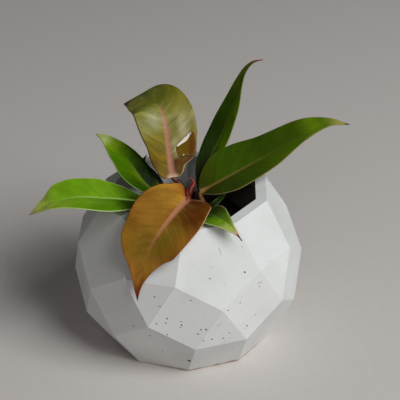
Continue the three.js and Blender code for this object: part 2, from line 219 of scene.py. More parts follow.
class Look:
    """A material whose nodes are added one call at a time."""

    def __init__(self, name):
        self.material = bpy.data.materials.new(name)
        self.material.use_nodes = True
        self.tree = self.material.node_tree
        self.shader = self.tree.nodes["Principled BSDF"]

    def fill(self, node, inputs):
        """Gives inputs, by name or number, another node's output, a screen colour or a number."""
        for name, value in inputs.items():
            socket = node.inputs[name]
            if isinstance(value, bpy.types.NodeSocket):
                self.tree.links.new(value, socket)
            else:
                socket.default_value = paint(*value) if isinstance(value, tuple) else value

    def node(self, kind, inputs, **settings):
        made = self.tree.nodes.new(kind)
        for name, value in settings.items():
            setattr(made, name, value)
        self.fill(made, inputs)
        return made

    def value(self, name):
        """A number that the mesh stores at each of its points."""
        return self.node("ShaderNodeAttribute", {}, attribute_name=name).outputs["Fac"]

    def place(self):
        return self.node("ShaderNodeTexCoord", {}).outputs["Object"]

    def coordinate(self, axis):
        """Metres to the right, back or up from the middle of the pot's foot: axis 0, 1 or 2."""
        return self.node("ShaderNodeSeparateXYZ", {0: self.place()}).outputs[axis]

    def math(self, operation, first, *others):
        """Works one operation along its numbers, two at a time."""
        for other in others or [0.0]:
            first = self.node("ShaderNodeMath", {0: first, 1: other}, operation=operation).outputs[0]
        return first

    def times(self, *factors):
        return self.math("MULTIPLY", *factors) if len(factors) > 1 else factors[0]

    def step(self, x, low, high):
        """0 to 1 as x goes from low to high, softly at both ends."""
        inputs = {"Value": x, "From Min": low, "From Max": high}
        return self.node("ShaderNodeMapRange", inputs, interpolation_type="SMOOTHSTEP").outputs[0]

    def range(self, x, low, high):
        """Takes x, from 0 to 1, to a number between low and high."""
        return self.node("ShaderNodeMapRange", {"Value": x, "To Min": low, "To Max": high}).outputs[0]

    def cover(self, under, over, *shares, kind="MIX"):
        """Lays a colour over another, as much of it as the product of the shares."""
        inputs = {0: self.times(*shares), 6: under, 7: over}
        return self.node("ShaderNodeMix", inputs, data_type="RGBA", blend_type=kind).outputs[2]

    def tint(self, colour, share, low, high):
        """Makes a colour darker or lighter: share takes it from low to high times itself."""
        grey = self.range(share, low, high)
        return self.cover(colour, self.join(grey, grey, grey), 1.0, kind="MULTIPLY")

    def ramp(self, x, *stops):
        """Colours along x: places with a colour at each."""
        made = self.node("ShaderNodeValToRGB", {0: x})
        made.color_ramp.interpolation = "EASE"
        elements = made.color_ramp.elements
        while len(elements) < len(stops):
            elements.new(0.5)
        for element, (where, colour) in zip(elements, stops):
            element.position = where
            element.color = paint(*colour)
        return made.outputs[0]

    def join(self, x, y, z):
        return self.node("ShaderNodeCombineXYZ", {0: x, 1: y, 2: z}).outputs[0]

    def noise(self, size, detail, roughness=0.5, where=None):
        """Soft noise with blobs this many millimetres across, or units of where if it is given."""
        scale = 1 / size if where else 1 / (size * MM)
        inputs = {"Vector": where or self.place(), "Scale": scale, "Detail": detail, "Roughness": roughness}
        return self.node("ShaderNodeTexNoise", inputs).outputs["Fac"]

    def spots(self, size):
        """Distance to the nearest of many scattered points, in cells this many millimetres wide."""
        inputs = {"Vector": self.place(), "Scale": 1 / (size * MM)}
        return self.node("ShaderNodeTexVoronoi", inputs).outputs["Distance"]

    def finish(self, colour, roughness, shine=0.5, relief=None, depth=0.0):
        """Fills the shader. Relief, from 0 to 1, raises the surface by up to depth millimetres."""
        inputs = {"Base Color": colour, "Roughness": roughness, "Specular IOR Level": shine}
        if relief:
            bump = self.node("ShaderNodeBump", {"Distance": depth * MM, "Height": relief})
            inputs["Normal"] = bump.outputs[0]
        self.fill(self.shader, inputs)
        return self.material


def grained_look(name, value, stops, grain, dark, most, roughness, depth, shine=0.5):
    """A skin with colours along a value of its mesh, darkened and raised by noise."""
    look = Look(name)
    height = look.noise(*grain)
    colour = look.cover(look.ramp(look.value(value), *stops), dark, look.range(height, 0, most))
    return look.finish(colour, look.range(height, *roughness), shine, height, depth)


# Camera, floor and light

CAMERA_PLACE = Vector((-157.75, -566.01, 405.95)) * MM
CAMERA_RIGHT = Vector((0.9548, -0.2959, -0.0286))
CAMERA_UP = Vector((0.1687, 0.4601, 0.8717))
CAMERA_LENS = 117.26
LIGHTS_AIM = Vector((0, 0, 0.07))
HALF_FLOOR = 3.0


def make_camera():
    data = bpy.data.cameras.new("camera")
    data.sensor_width = 36
    data.lens = CAMERA_LENS
    back = CAMERA_RIGHT.cross(CAMERA_UP).normalized()
    up = back.cross(CAMERA_RIGHT).normalized()
    turn = Matrix((CAMERA_RIGHT.normalized(), up, back)).transposed()
    camera = show("camera", data)
    camera.matrix_world = Matrix.LocRotScale(CAMERA_PLACE, turn.to_quaternion(), None)
    bpy.context.scene.camera = camera


def make_light(name, place, size, power, colour):
    """A square soft box that looks at the plant."""
    data = bpy.data.lights.new(name, "AREA")
    data.size = size
    data.energy = power
    data.color = colour
    light = show(name, data)
    light.location = place
    light.rotation_euler = (LIGHTS_AIM - Vector(place)).to_track_quat("-Z", "Y").to_euler()


def make_floor():
    corners = [(x * HALF_FLOOR, y * HALF_FLOOR, 0) for x, y in ((-1, -1), (1, -1), (1, 1), (-1, 1))]
    mesh = bpy.data.meshes.new("floor")
    mesh.from_pydata(corners, [], [(0, 1, 2, 3)])
    look = Look("floor_paper")
    colour = look.ramp(look.noise(4, 2), (0, (212, 205, 201)), (1, (217, 210, 206)))
    mesh.materials.append(look.finish(colour, 0.85))
    show("floor", mesh)


def make_studio():
    bpy.context.scene.view_settings.view_transform = "Standard"
    world = bpy.data.worlds.new("studio")
    world.use_nodes = True
    sky = world.node_tree.nodes["Background"]
    sky.inputs["Color"].default_value = (1.0, 0.88, 0.94, 1)
    sky.inputs["Strength"].default_value = 0.03
    bpy.context.scene.world = world
    make_light("key", (0.73, -1.18, 1.3), 1.05, 29.2, (0.96, 1.0, 0.995))
    make_light("back", (-0.55, 1.1, 1.0), 1.2, 1.1, (0.97, 0.98, 1.0))
    make_light("small_window", (-0.356, -0.902, 0.75), 0.22, 0.74, (1.0, 0.98, 0.97))


# The pot

EDGE = 27.0
# The decagon at either end: its height above the middle and its radius, in edge lengths
END_HEIGHT = 1.5388
END_RADIUS = 1.618
POT_HEIGHT = 2 * END_HEIGHT * EDGE
RIM_SIDES = 10
WALL_AT_RIM = 5.4
FLOOR_THICKNESS = 12.0
CAVITY_TAPER = 4.0
CAVITY_TOP = END_RADIUS * EDGE - WALL_AT_RIM / math.cos(math.pi / RIM_SIDES)
# Rings of corners: height and radius in edge lengths, then in degrees the first corner or pair of
# corners and half the angle within a pair
POT_RINGS = [
    (END_HEIGHT, END_RADIUS, 18, 18), (0.6882, 2.1243, 18, 13.61), (0.1625, 2.227, 54, 0),
    (-0.1625, 2.227, 18, 0), (-0.6882, 2.1243, 54, 13.61), (-END_HEIGHT, END_RADIUS, 18, 18),
]
EDGE_ROUNDING = 0.55
EDGE_CUTS = 9
# Smallest area of a facet; the strips of the rounded edges are far smaller
FACET_AREA = 60
# Chips along the edges: how many, their radii and their depths
CHIPS = 26
CHIP_RADII = (0.8, 1.8)
CHIP_DEPTHS = (0.25, 0.5)
# Pinholes seen in the photo: degrees round the pot, height and radius
PINHOLES = [
    (-107, 10.5, 1.1), (-135, 34, 0.5), (-129, 41, 0.5), (-127, 29, 0.65), (-123, 53.5, 0.5),
    (-122, 39, 0.5), (-120, 48, 0.5), (-118, 32, 0.45), (-117, 42, 0.5), (-110, 38, 0.55),
    (-105, 52.5, 0.4), (-102, 32.5, 0.5), (-101, 19, 0.45), (-100.5, 35, 0.5), (-98, 35, 0.6),
    (-99.5, 28, 0.5), (-95, 28, 0.6), (-92, 37, 0.4), (-89, 27, 0.5), (-87, 45, 0.45),
    (-86, 30, 0.45), (-82, 17, 0.4), (-80, 46.5, 0.4), (-76, 31, 0.5), (-75, 61, 0.55), (-67, 53.5, 0.4),
]
# A fine upright scratch, made as a long slim pinhole: degrees, height and half its length
SCRATCH = (-86, 72.2, 2.6)
SCRATCH_WIDTH = 0.035
SCRATCH_SLANT = 0.2
# Groups of small random pinholes: degrees round the pot, height and radius
PIT_CLUSTERS = [
    (-143, 27, 4), (-135, 33, 5), (-123, 40, 6), (-110, 38, 5), (-101, 34, 5), (-93, 28, 7), (-88, 37, 6),
    (-77, 32, 4), (-83, 47, 5), (-66, 54, 5), (-40, 36, 7), (-12, 30, 6), (10, 44, 6), (37, 33, 7),
    (66, 38, 6), (95, 29, 6), (121, 35, 7), (150, 40, 6), (178, 31, 6),
]
# Random pinholes tried on a square millimetre, and the flat left at a facet's sides and between two
PIT_TRIES = 0.045
PIT_MARGIN = 0.3
PIT_SPACING = 0.4
# Radii of random pinholes: the least, how much more one has on average, and the most
PIT_RADII = (0.18, 0.11, 0.5)
PIT_SIDES = 9
# A pinhole's rings and bottom: shares of its radius and of its depth
PIT_RINGS = ((1.0, 0.0), (0.86, 0.7), (0.0, 1.0))


def pot_corners():
    corners = []
    for height, radius, first, half_pair in POT_RINGS:
        for k in range(5):
            for side in ([-1, 1] if half_pair else [0]):
                azimuth = first + 72 * k + side * half_pair
                corners.append(polar(radius * EDGE, azimuth, (height + END_HEIGHT) * EDGE))
    return corners


def cavity_radius(z):
    """How far the cavity's corners are from the axis at a height."""
    return CAVITY_TOP - CAVITY_TAPER * (POT_HEIGHT - z) / (POT_HEIGHT - FLOOR_THICKNESS)


def pot_shell():
    """The pot as one closed body with sharp edges."""
    bm = bmesh.new()
    for corner in pot_corners():
        bm.verts.new(corner)
    bmesh.ops.convex_hull(bm, input=bm.verts)
    bmesh.ops.dissolve_limit(bm, angle_limit=0.02, verts=bm.verts, edges=bm.edges)
    bmesh.ops.recalc_face_normals(bm, faces=bm.faces)
    top = max(bm.faces, key=lambda face: face.normal.z * face.calc_center_median().z)
    outer = sorted(top.verts, key=lambda v: math.atan2(v.co.y, v.co.x))
    bm.faces.remove(top)
    rings = [outer]
    for z in (POT_HEIGHT, FLOOR_THICKNESS):
        radius = cavity_radius(z)
        angles = [math.degrees(math.atan2(vert.co.y, vert.co.x)) for vert in outer]
        rings.append([bm.verts.new(polar(radius, angle, z)) for angle in angles])
    for low, high in zip(rings, rings[1:]):
        for k in range(RIM_SIDES):
            m = (k + 1) % RIM_SIDES
            bm.faces.new((low[k], low[m], high[m], high[k]))
    bm.faces.new(rings[-1])
    bmesh.ops.recalc_face_normals(bm, faces=bm.faces)
    return bm


def round_edges(bm):
    """Cuts every edge into short lengths and rounds it."""
    for edge in list(bm.edges):
        cuts = EDGE_CUTS if edge.calc_length() > EDGE * 0.5 else 2
        rest, corner = edge, edge.verts[0]
        for k in range(cuts, 0, -1):
            rest, corner = bmesh.utils.edge_split(rest, corner, 1 / (k + 1))
    bmesh.ops.bevel(
        bm, geom=bm.edges[:], offset=EDGE_ROUNDING, segments=3, profile=0.55,
        affect="EDGES", clamp_overlap=True,
    )
    bmesh.ops.remove_doubles(bm, verts=bm.verts, dist=0.01)


def wear_edges(bm, facets):
    """Moves the rounded strips' inner points by a cast edge's small unevenness and chips."""
    flat = {vert for facet in facets for vert in facet.corners}
    dice = random.Random(11)
    chips = []
    for _ in range(CHIPS):
        where = polar(dice.uniform(44, 60), dice.uniform(0, 360), dice.uniform(2, POT_HEIGHT))
        chips.append((where, dice.uniform(*CHIP_RADII), dice.uniform(*CHIP_DEPTHS)))
    for vert in bm.verts:
        if vert in flat:
            continue
        outward = vert.normal
        dent = 0.1 * noise.fractal(vert.co * 0.35, 0.6, 2.0, 4) - 0.03
        for where, radius, depth in chips:
            dent -= depth * max(1 - (vert.co - where).length / radius, 0)
        vert.co += outward * dent
        vert.co.z = max(vert.co.z, 0)


class Facet:
    """A flat face of the pot with axes of its own, worked on as a sheet of paper."""

    def __init__(self, face):
        self.face = face
        self.corners = list(face.verts)
        self.normal = face.normal.copy()
        self.origin = face.calc_center_median()
        self.x_axis = (self.corners[1].co - self.corners[0].co).normalized()
        self.y_axis = self.normal.cross(self.x_axis)
        self.outline = [self.flatten(vert.co) for vert in self.corners]
        self.known_pits = []

    def flatten(self, place):
        off = place - self.origin
        return Vector((off.dot(self.x_axis), off.dot(self.y_axis)))

    def place(self, spot, depth=0.0):
        return self.origin + self.x_axis * spot.x + self.y_axis * spot.y - self.normal * depth

    def holds(self, spot, margin):
        """Whether a spot lies on the facet, at least this far from its sides."""
        for a, b in zip(self.outline, self.outline[1:] + self.outline[:1]):
            side = b - a
            if side.length >= 0.05 and side.cross(spot - a) / side.length < margin:
                return False
        return True


def pit_share(place, normal):
    """How likely a pinhole is at a place, 0 to 1: most lie in small groups below the widest part."""
    if abs(normal.z) > 0.99 or place.xy.dot(normal.xy) < 0:
        return 0.05
    share = 0.05 + 0.05 * smooth(38 - place.z, 0, 20)
    for degrees, height, radius in PIT_CLUSTERS:
        off = place - polar(place.xy.length, degrees, height)
        share += 0.8 * math.exp(-off.length_squared / radius ** 2)
    return min(share, 1)


def sort_pinholes(facets):
    """Puts each listed pinhole on the facet that the ray from the pot's axis leaves through."""
    for degrees, height, radius in PINHOLES + [SCRATCH]:
        ray = polar(1, degrees, 0)
        ways_out = []
        for facet in facets:
            origin, normal = facet.origin, facet.normal
            if origin.xy.dot(normal.xy) > 0 and normal.dot(ray) > 0.05:
                ways_out.append(((normal.dot(origin) - normal.z * height) / normal.dot(ray), facet))
        reach, facet = min(ways_out, key=lambda way: way[0])
        facet.known_pits.append((ray * reach + Vector((0, 0, height)), radius))


def choose_pits(facet, dice):
    """Spots and radii of a facet's pinholes: the known ones, then random ones that keep clear."""
    wanted = []
    for where, radius in facet.known_pits:
        spot = facet.flatten(where)
        # One too near a side moves in
        for _ in range(12):
            if not facet.holds(spot, radius + PIT_MARGIN):
                spot *= 1 - 0.15 / spot.length
        wanted.append((spot, radius))
    reach = max(corner.length for corner in facet.outline)
    least, extra, most = PIT_RADII
    for _ in range(int(4 * reach * reach * PIT_TRIES)):
        radius = min(least + dice.expovariate(1 / extra), most)
        spot = Vector((dice.uniform(-reach, reach), dice.uniform(-reach, reach)))
        if dice.random() < pit_share(facet.place(spot), facet.normal):
            wanted.append((spot, radius))
    pits = []
    for spot, radius in wanted:
        clear = all((spot - other).length >= radius + size + PIT_SPACING for other, size in pits)
        if clear and facet.holds(spot, radius + PIT_MARGIN):
            pits.append((spot, radius))
    return pits


def mark_facet(bm, facet, dice):
    """Swaps a flat facet for triangles round its pinholes."""
    points = list(facet.outline)
    depths = [0.0] * len(points)
    rings = []
    for spot, radius in choose_pits(facet, dice):
        turn = dice.uniform(0, math.pi)
        stretch = dice.uniform(0.7, 1.0)
        if radius == SCRATCH[2]:
            turn = math.atan2(facet.y_axis.z, facet.x_axis.z) + SCRATCH_SLANT
            stretch = SCRATCH_WIDTH
        for share, deep in PIT_RINGS:
            sides = PIT_SIDES if share else 1
            if share:
                rings += [(len(points) + k, len(points) + (k + 1) % sides) for k in range(sides)]
            for k in range(sides):
                a = FULL_TURN * k / sides
                oval = Vector((radius * share * math.cos(a), radius * share * math.sin(a) * stretch))
                points.append(spot + Matrix.Rotation(turn, 2) @ oval)
                depths.append(deep * stretch * radius)
    found = delaunay_2d_cdt(points, rings, [list(range(len(facet.outline)))], 1, 1e-5)
    pit = bm.verts.layers.float["pit"]
    verts = []
    for where, sources in zip(found[0], found[3]):
        source = sources[0] if sources else None
        if source is not None and source < len(facet.corners):
            verts.append(facet.corners[source])
            continue
        deep = depths[source] if source is not None else 0.0
        vert = bm.verts.new(facet.place(where, deep))
        vert[pit] = 1.0 if deep > 0 else 0.0
        verts.append(vert)
    bm.faces.remove(facet.face)
    for corners in found[2]:
        bm.faces.new([verts[k] for k in corners])


def make_pot():
    bm = pot_shell()
    bm.verts.layers.float.new("pit")
    round_edges(bm)
    bm.normal_update()
    facets = [Facet(face) for face in bm.faces if face.calc_area() > FACET_AREA]
    wear_edges(bm, facets)
    for face in bm.faces:
        face.smooth = True
    sort_pinholes(facets)
    dice = random.Random(4)
    for facet in facets:
        mark_facet(bm, facet, dice)
    bmesh.ops.triangulate(bm, faces=[face for face in bm.faces if len(face.verts) > 4])
    within = bm.verts.layers.float.new("within")
    for vert in bm.verts:
        in_cavity = vert.co.xy.length < CAVITY_TOP + 0.4
        if in_cavity and FLOOR_THICKNESS - 1 < vert.co.z < POT_HEIGHT - 0.3:
            vert[within] = 1.0
    mesh = bpy.data.meshes.new("pot_concrete")
    bmesh.ops.scale(bm, vec=(MM, MM, MM), verts=bm.verts)
    bm.to_mesh(mesh)
    bm.free()
    mesh.materials.append(concrete_look())
    dress(show("pot_concrete", mesh), "concrete", "pot")


def concrete_look():
    look = Look("cast_concrete")
    grain = look.noise(0.9, 4, 0.7)
    sand = look.noise(0.28, 2, 0.6)
    ragged = look.noise(7, 3)
    right, back, height = (look.coordinate(axis) for axis in range(3))
    colour = look.ramp(
        look.noise(26, 4), (0.3, (220, 220, 218)), (0.5, (227, 227, 226)), (0.7, (232, 232, 231)),
    )
    colour = look.tint(colour, grain, 0.955, 1.03)
    colour = look.tint(colour, sand, 0.96, 1.03)
    colour = look.cover(colour, (226, 226, 208), look.step(look.noise(5, 3), 0.62, 0.75), 0.4)
    specks = look.step(look.spots(1.5), 0.13, 0.07)
    colour = look.cover(colour, (104, 100, 94), specks, look.step(look.noise(9, 2), 0.5, 0.62), 0.5)
    # Pinholes painted near black: painted shade in their hollows, with some dirt
    colour = look.cover(colour, (32, 30, 28), look.value("pit"), 0.95)
    # A brown stain low on the front
    low = look.step(look.math("ADD", height, look.times(ragged, 0.004)), 0.0036, 0.002)
    colour = look.cover(colour, (150, 96, 58), low, look.step(back, -0.026, -0.036), 0.8)
    # Painted shade on the inner wall, with some soil stain: dark below a line that stands higher at the
    # right, where the wall faces away from the light
    turned = look.math("SUBTRACT", right, look.times(back, 0.8))
    line = look.range(look.step(turned, 0.0, 0.03), 0.066, 0.1)
    line = look.math("ADD", line, look.times(ragged, 0.012))
    painted_wall_shade = look.step(look.math("SUBTRACT", line, height), 0.002, 0.012)
    colour = look.cover(colour, (44, 36, 26), painted_wall_shade, look.value("within"), 0.9)
    relief = look.math("ADD", look.times(grain, 0.7), look.times(sand, 0.3))
    return look.finish(colour, look.range(grain, 0.84, 0.96), 0.3, relief, 0.1)


# The soil

SOIL_EDGE = POT_HEIGHT - 22
SOIL_BOTTOM = SOIL_EDGE - 8
SOIL_MOUND = 2.5
SOIL_GAP = 0.35
SOIL_RINGS = 46
SOIL_SECTORS = 150
CRUMBS = 760
# Share of the crumbs up to each kind, radii, stretch along its axes and tones: lumps, bark, fibres
CRUMB_KINDS = [
    (0.72, (0.5, 1.4), (1, 0.85, 0.7), (0.2, 0.75)),
    (0.9, (0.7, 1.9), (1, 0.55, 0.22), (0.6, 1.0)),
    (1, (1.5, 3.4), (1, 0.08, 0.07), (0.5, 0.95)),
]
STEM_X = 4.0
STEM_Y = 1.0
STEM_RADIUS = 3.5
STEM_TOP = 75.5


def soil_height(x, y, share):
    """Height of the soil's top at a place; share is how far out it lies, 0 to 1."""
    where = Vector((x, y, 3.7))
    rough = 1.5 * noise.fractal(where * 0.09, 0.7, 2.0, 5)
    rough += 0.7 * noise.noise(where * 0.55)
    return SOIL_EDGE + SOIL_MOUND * (1 - share) + rough * smooth(1 - share, 0, 0.06) - 0.4


def make_soil():
    apothem = cavity_radius(SOIL_EDGE) * math.cos(math.pi / RIM_SIDES) - SOIL_GAP
    points = []
    for i in range(SOIL_RINGS + 1):
        share = i / SOIL_RINGS
        for j in range(SOIL_SECTORS):
            a = FULL_TURN * j / SOIL_SECTORS
            off = a % (FULL_TURN / RIM_SIDES) - math.pi / RIM_SIDES
            reach = share * apothem / math.cos(off)
            x, y = reach * math.cos(a), reach * math.sin(a)
            points.append(Vector((x, y, soil_height(x, y, share))))
    low = len(points)
    points += [Vector((p.x * 0.99, p.y * 0.99, SOIL_BOTTOM)) for p in points[-SOIL_SECTORS:]]
    points.append(Vector((0, 0, SOIL_BOTTOM)))
    faces = ring_faces(SOIL_RINGS + 1, SOIL_SECTORS)
    for j in range(SOIL_SECTORS):
        faces.append([low + j, low + SOIL_SECTORS, low + (j + 1) % SOIL_SECTORS])
    body = Body()
    body.add(points, faces, tone=[0.5] * len(points))
    scatter_crumbs(body)
    stops = [(0.15, (26, 17, 11)), (0.5, (40, 28, 20)), (0.8, (70, 48, 32)), (1, (104, 74, 48))]
    look = grained_look(
        "potting_mix", "tone", stops, (0.8, 5, 0.7), (17, 11, 8), 0.75, (0.8, 1.0), 0.35, shine=0.25)
    dress(body.make("soil_crumbs", look), "potting_mix", "soil")


def lump(radius, stretch, turn, dice):
    """Points and faces of one uneven lump round the origin."""
    bm = bmesh.new()
    bmesh.ops.create_icosphere(bm, subdivisions=2, radius=1)
    seed = Vector((dice.uniform(0, 90), dice.uniform(0, 90), dice.uniform(0, 90)))
    points = []
    for vert in bm.verts:
        p = vert.co * (1 + 0.45 * noise.noise(vert.co * 1.3 + seed))
        points.append(turn @ (p * Vector(stretch) * radius))
    faces = [[v.index for v in face.verts] for face in bm.faces]
    bm.free()
    return points, faces


def scatter_crumbs(body):
    """Lumps, bark chips and fibres of the potting mix, half sunk in it."""
    dice = random.Random(23)
    reach = cavity_radius(SOIL_EDGE) * 0.94
    for _ in range(CRUMBS):
        distance = reach * math.sqrt(dice.random())
        a = dice.uniform(0, FULL_TURN)
        x, y = distance * math.cos(a), distance * math.sin(a)
        if math.hypot(x - STEM_X, y - STEM_Y) < STEM_RADIUS + 1:
            continue
        draw = dice.random()
        _, radii, stretch, tones = next(kind for kind in CRUMB_KINDS if draw < kind[0])
        radius = dice.uniform(*radii)
        tone = dice.uniform(*tones)
        turn = Matrix.Rotation(dice.uniform(0, FULL_TURN), 3, "Z")
        turn = turn @ Matrix.Rotation(dice.uniform(-0.5, 0.5), 3, "Y")
        points, faces = lump(radius, stretch, turn, dice)
        share = distance / cavity_radius(SOIL_EDGE)
        base = Vector((x, y, soil_height(x, y, share) + radius * stretch[2] * 0.35))
        body.add([p + base for p in points], faces, tone=[tone] * len(points))


# Rods: the stem, the stalks and the furled leaf


def rod(points, radius_at, rings, sides, section=None):
    """A closed round rod along a curve: its points, its faces, and how far along and round they lie.

    radius_at gives the radius at a share of the length; section changes it with share and angle.
    """
    path = Curve(points)
    made, shares, turns = [], [], []
    side = Vector((1, 0.2, 0.1))
    for i in range(rings + 1):
        share = i / rings
        centre = path.at_share(share)
        along = path.direction(share)
        side = (side - along * side.dot(along)).normalized()
        other = along.cross(side)
        for j in range(sides):
            a = FULL_TURN * j / sides
            r = radius_at(share) * (section(share, a) if section else 1)
            made.append(centre + side * (r * math.cos(a)) + other * (r * math.sin(a)))
            shares.append(share)
            turns.append(j / sides)
    faces = flipped(ring_faces(rings, sides))
    start, end, last_ring = len(made), len(made) + 1, rings * sides
    made += [path.at_share(0), path.at_share(1)]
    shares += [0, 1]
    turns += [0, 0]
    for j in range(sides):
        k = (j + 1) % sides
        faces.append([start, k, j])
        faces.append([end, last_ring + j, last_ring + k])
    return made, faces, shares, turns


def stalk_look(name, low, high, under):
    """Stalk skin: low colour at the stem, high colour at the blade, and under on the midrib below it."""
    stops = [(0.05, low), (0.45, high), (0.6, under)]
    return grained_look(name, "along", stops, (0.8, 3), low, 0.4, (0.3, 0.5), 0.06)


# The leaves

# Shares of a half's width at which a blade has its lines of points, close together at the margin
COLUMNS = [
    0, 0.008, 0.02, 0.036, 0.056, 0.08, 0.112, 0.15, 0.2, 0.26, 0.325, 0.395, 0.465, 0.535,
    0.605, 0.675, 0.74, 0.8, 0.855, 0.9, 0.937, 0.965, 0.984, 0.994, 1,
]
ROWS = 170
HALF_THICKNESS = 0.3
LEAST_HALF_WIDTH = 0.2
# A blade that is this wide to either side at its base starts with rounded shoulders, of this
# share of its width and this share of its length
WIDE_FOOT = 5.0
SHOULDER_WIDTH = 0.76
SHOULDER_LENGTH = 0.05
# How a lobe's reach back swells and falls off from rib to margin, and how far up the blade it acts
LOBE_TURN = 2.3
LOBE_BEND = 1.5
LOBE_SHARE = 0.3
BEND_HEIGHT = 0.45
VEIN_DEPTH = 0.05
VEIN_SLANT = 0.16
# Shares of the rib's length at which the midrib's path below the blade is fixed
MIDRIB_SHARES = (0.05, 0.11, 0.2, 0.32, 0.45, 0.6, 0.75, 0.88, 0.96)


class Leaf:
    """One leaf. Left and right are its halves as seen from above with the tip ahead.

    Lengths are millimetres, angles degrees, and places along the blade shares of the rib's length.
    A pair of numbers is for the left and the right half, unless said otherwise. Each leaf gives
    seed        which chance unevenness it has
    stalk, rib  points of the stalk from the stem up and of the midrib from base to tip
    facing      directions that its upper side looks in, evenly spread from base to tip
    outline     places along it with the half widths there
    fold        how far its halves stand up from flat, evenly spread from base to tip
    veins       how many side veins a half has
    band        half width of the coloured midrib at base and tip
    band_end    where the midrib's colour starts to fade and where it is gone
    left, right places along it with the half's colour there
    tips        colours at its tip, each with the places where it starts and is full
    and the colours blotch, vein_colour, band_colour, under_colour, for its lower side, and
    stalk_colours, at the stem, at the blade and below it.
    """

    # More angle gained from rib to margin, evenly spread from base to tip
    curl = [(0, 0), (0, 0)]
    # How far the halves reach back beside the stalk
    lobe = (0, 0)
    # Height of the margin's waves, how many they are, and where they start in radians
    wave = (0, 3, 0, 0)
    # Depth of the channel over the midrib
    groove = 0.35
    stalk_radius = 1.4
    # Share of a half's width over which the two halves' colours melt together, at base and tip
    melt = (0.03, 0.12)
    band_strength = 0.85
    vein_strength = 0.22
    # Brightness of the dark streaks, and how far the fine grain goes from even
    streak = 0.88
    grain = 0.11
    # Depth of the fine relief
    relief = 0.16
    gloss = 0.45
    shine = 0.5
    # Soft oval patches of each kind: their colour, then centre, reach along and across, strength
    marks = {}
    # Width, strength and colour of the line at the margin, of either half or both. Where it doesn't
    # run the whole way, the places where it is gone and full come after them. A pale line is a painted
    # highlight, light caught by the thin margin; a dark one is the margin's own colour
    rim = left_rim = right_rim = None
    # Width, strength and colour of the wide soft margin
    glow = None
    # How far the base's own colour reaches, and that colour
    foot = None
    # Where the dull surface at the base ends and where it is full
    dull_foot = None

    def __init__(self, **values):
        self.__dict__.update(values)


# From here on s is a place along the rib, and v a place from the rib to the margin, 0 to 1


def rib_frame(leaf, rib, s):
    """A place on the rib, the rib's direction there and the way the blade faces."""
    along = rib.direction(s)
    normal = Vector(spread(leaf.facing, s))
    return rib.at_share(s), along, (normal - along * normal.dot(along)).normalized()


def vein_count(leaf, s, v, sign):
    """How many side veins lie between the base and a place; a whole number is on a vein."""
    sway = 0.3 * noise.noise(Vector((s * 9, v * 3, leaf.seed + sign)))
    return leaf.veins * (s - VEIN_SLANT * v ** 1.2) + sway


def blade_lift(leaf, s, v, side, reach, band):
    """How far a place stands above its folded half: waves, chance bends, midrib and side veins."""
    height, waves, *starts = leaf.wave
    sign = 2 * side - 1
    ripple = math.sqrt(max(4 * s * (1 - s), 0))
    lift = height * math.sin(FULL_TURN * waves * s + starts[side]) * v * v * ripple
    bend = noise.noise(Vector((s * 6, v * 1.4 * sign + 5, leaf.seed * 7.3)))
    lift += BEND_HEIGHT * bend * v ** 1.5 * ripple
    lift -= leaf.groove * (1 - 0.8 * s) * math.exp(-((reach / (0.35 + 0.9 * band)) ** 2))
    vein = abs(2 * (vein_count(leaf, s, v, sign) % 1) - 1)
    return lift - VEIN_DEPTH * smooth(vein, 0.3, 1) * smooth(v, 0, 0.15) * (1 - v ** 3) * ripple


def blade_surface(leaf):
    """The blade's middle surface as rows of dictionaries from base to tip, and its rib."""
    rib = Curve(leaf.rib)
    outline = Curve([(s * rib.length, left, right) for s, left, right in leaf.outline])
    wide_foot = min(leaf.outline[0][1:]) > WIDE_FOOT
    rows = []
    for i in range(ROWS + 1):
        t = i / ROWS
        # Rows lie closer together towards both ends
        shape = outline.at(smooth(t, 0, 1) * 0.35 + t * 0.65)
        s = clamp(shape.x / rib.length)
        centre, along, normal = rib_frame(leaf, rib, s)
        right = along.cross(normal)
        fold, curl = spread(leaf.fold, s), spread(leaf.curl, s)
        near_base = clamp(1 - s / LOBE_SHARE) ** 2
        band = mix(*leaf.band, s ** 0.8)
        row = []
        for side, sign in ((0, -1), (1, 1)):
            width = max(shape[1 + side], LEAST_HALF_WIDTH)
            if wide_foot:
                width *= mix(SHOULDER_WIDTH, 1, math.sqrt(1 - (1 - clamp(s / SHOULDER_LENGTH)) ** 2))
            half = []
            for v in COLUMNS:
                reach = width * v
                angle = math.radians(fold[side] + curl[side] * v / 2)
                lobe = leaf.lobe[side] * math.sin(LOBE_TURN * v ** LOBE_BEND) * near_base
                lift = reach * math.sin(angle) + blade_lift(leaf, s, v, side, reach, band)
                margin = width * (1 - v)
                point = centre + right * (sign * reach * math.cos(angle)) + normal * lift
                half.append({
                    "point": point - along * lobe,
                    "along": s,
                    "across": sign * v,
                    "rib": reach / band,
                    "edge": min(margin, s * rib.length + (0 if wide_foot and reach > 1.5 else 3)),
                    "rim": min(margin, s * rib.length),
                    "vein": vein_count(leaf, s, v, sign),
                })
            row += half if side else half[:0:-1]
        rows.append(row)
    return rows, rib


def patch_share(spot, patch):
    """How much of a soft oval patch shows: its centre and radii in along and across, and strength."""
    s, v, long, wide, strength = patch
    off = math.hypot((spot["along"] - s) / long, (spot["across"] - v) / wide)
    return strength * smooth(1 - off, 0, 1)


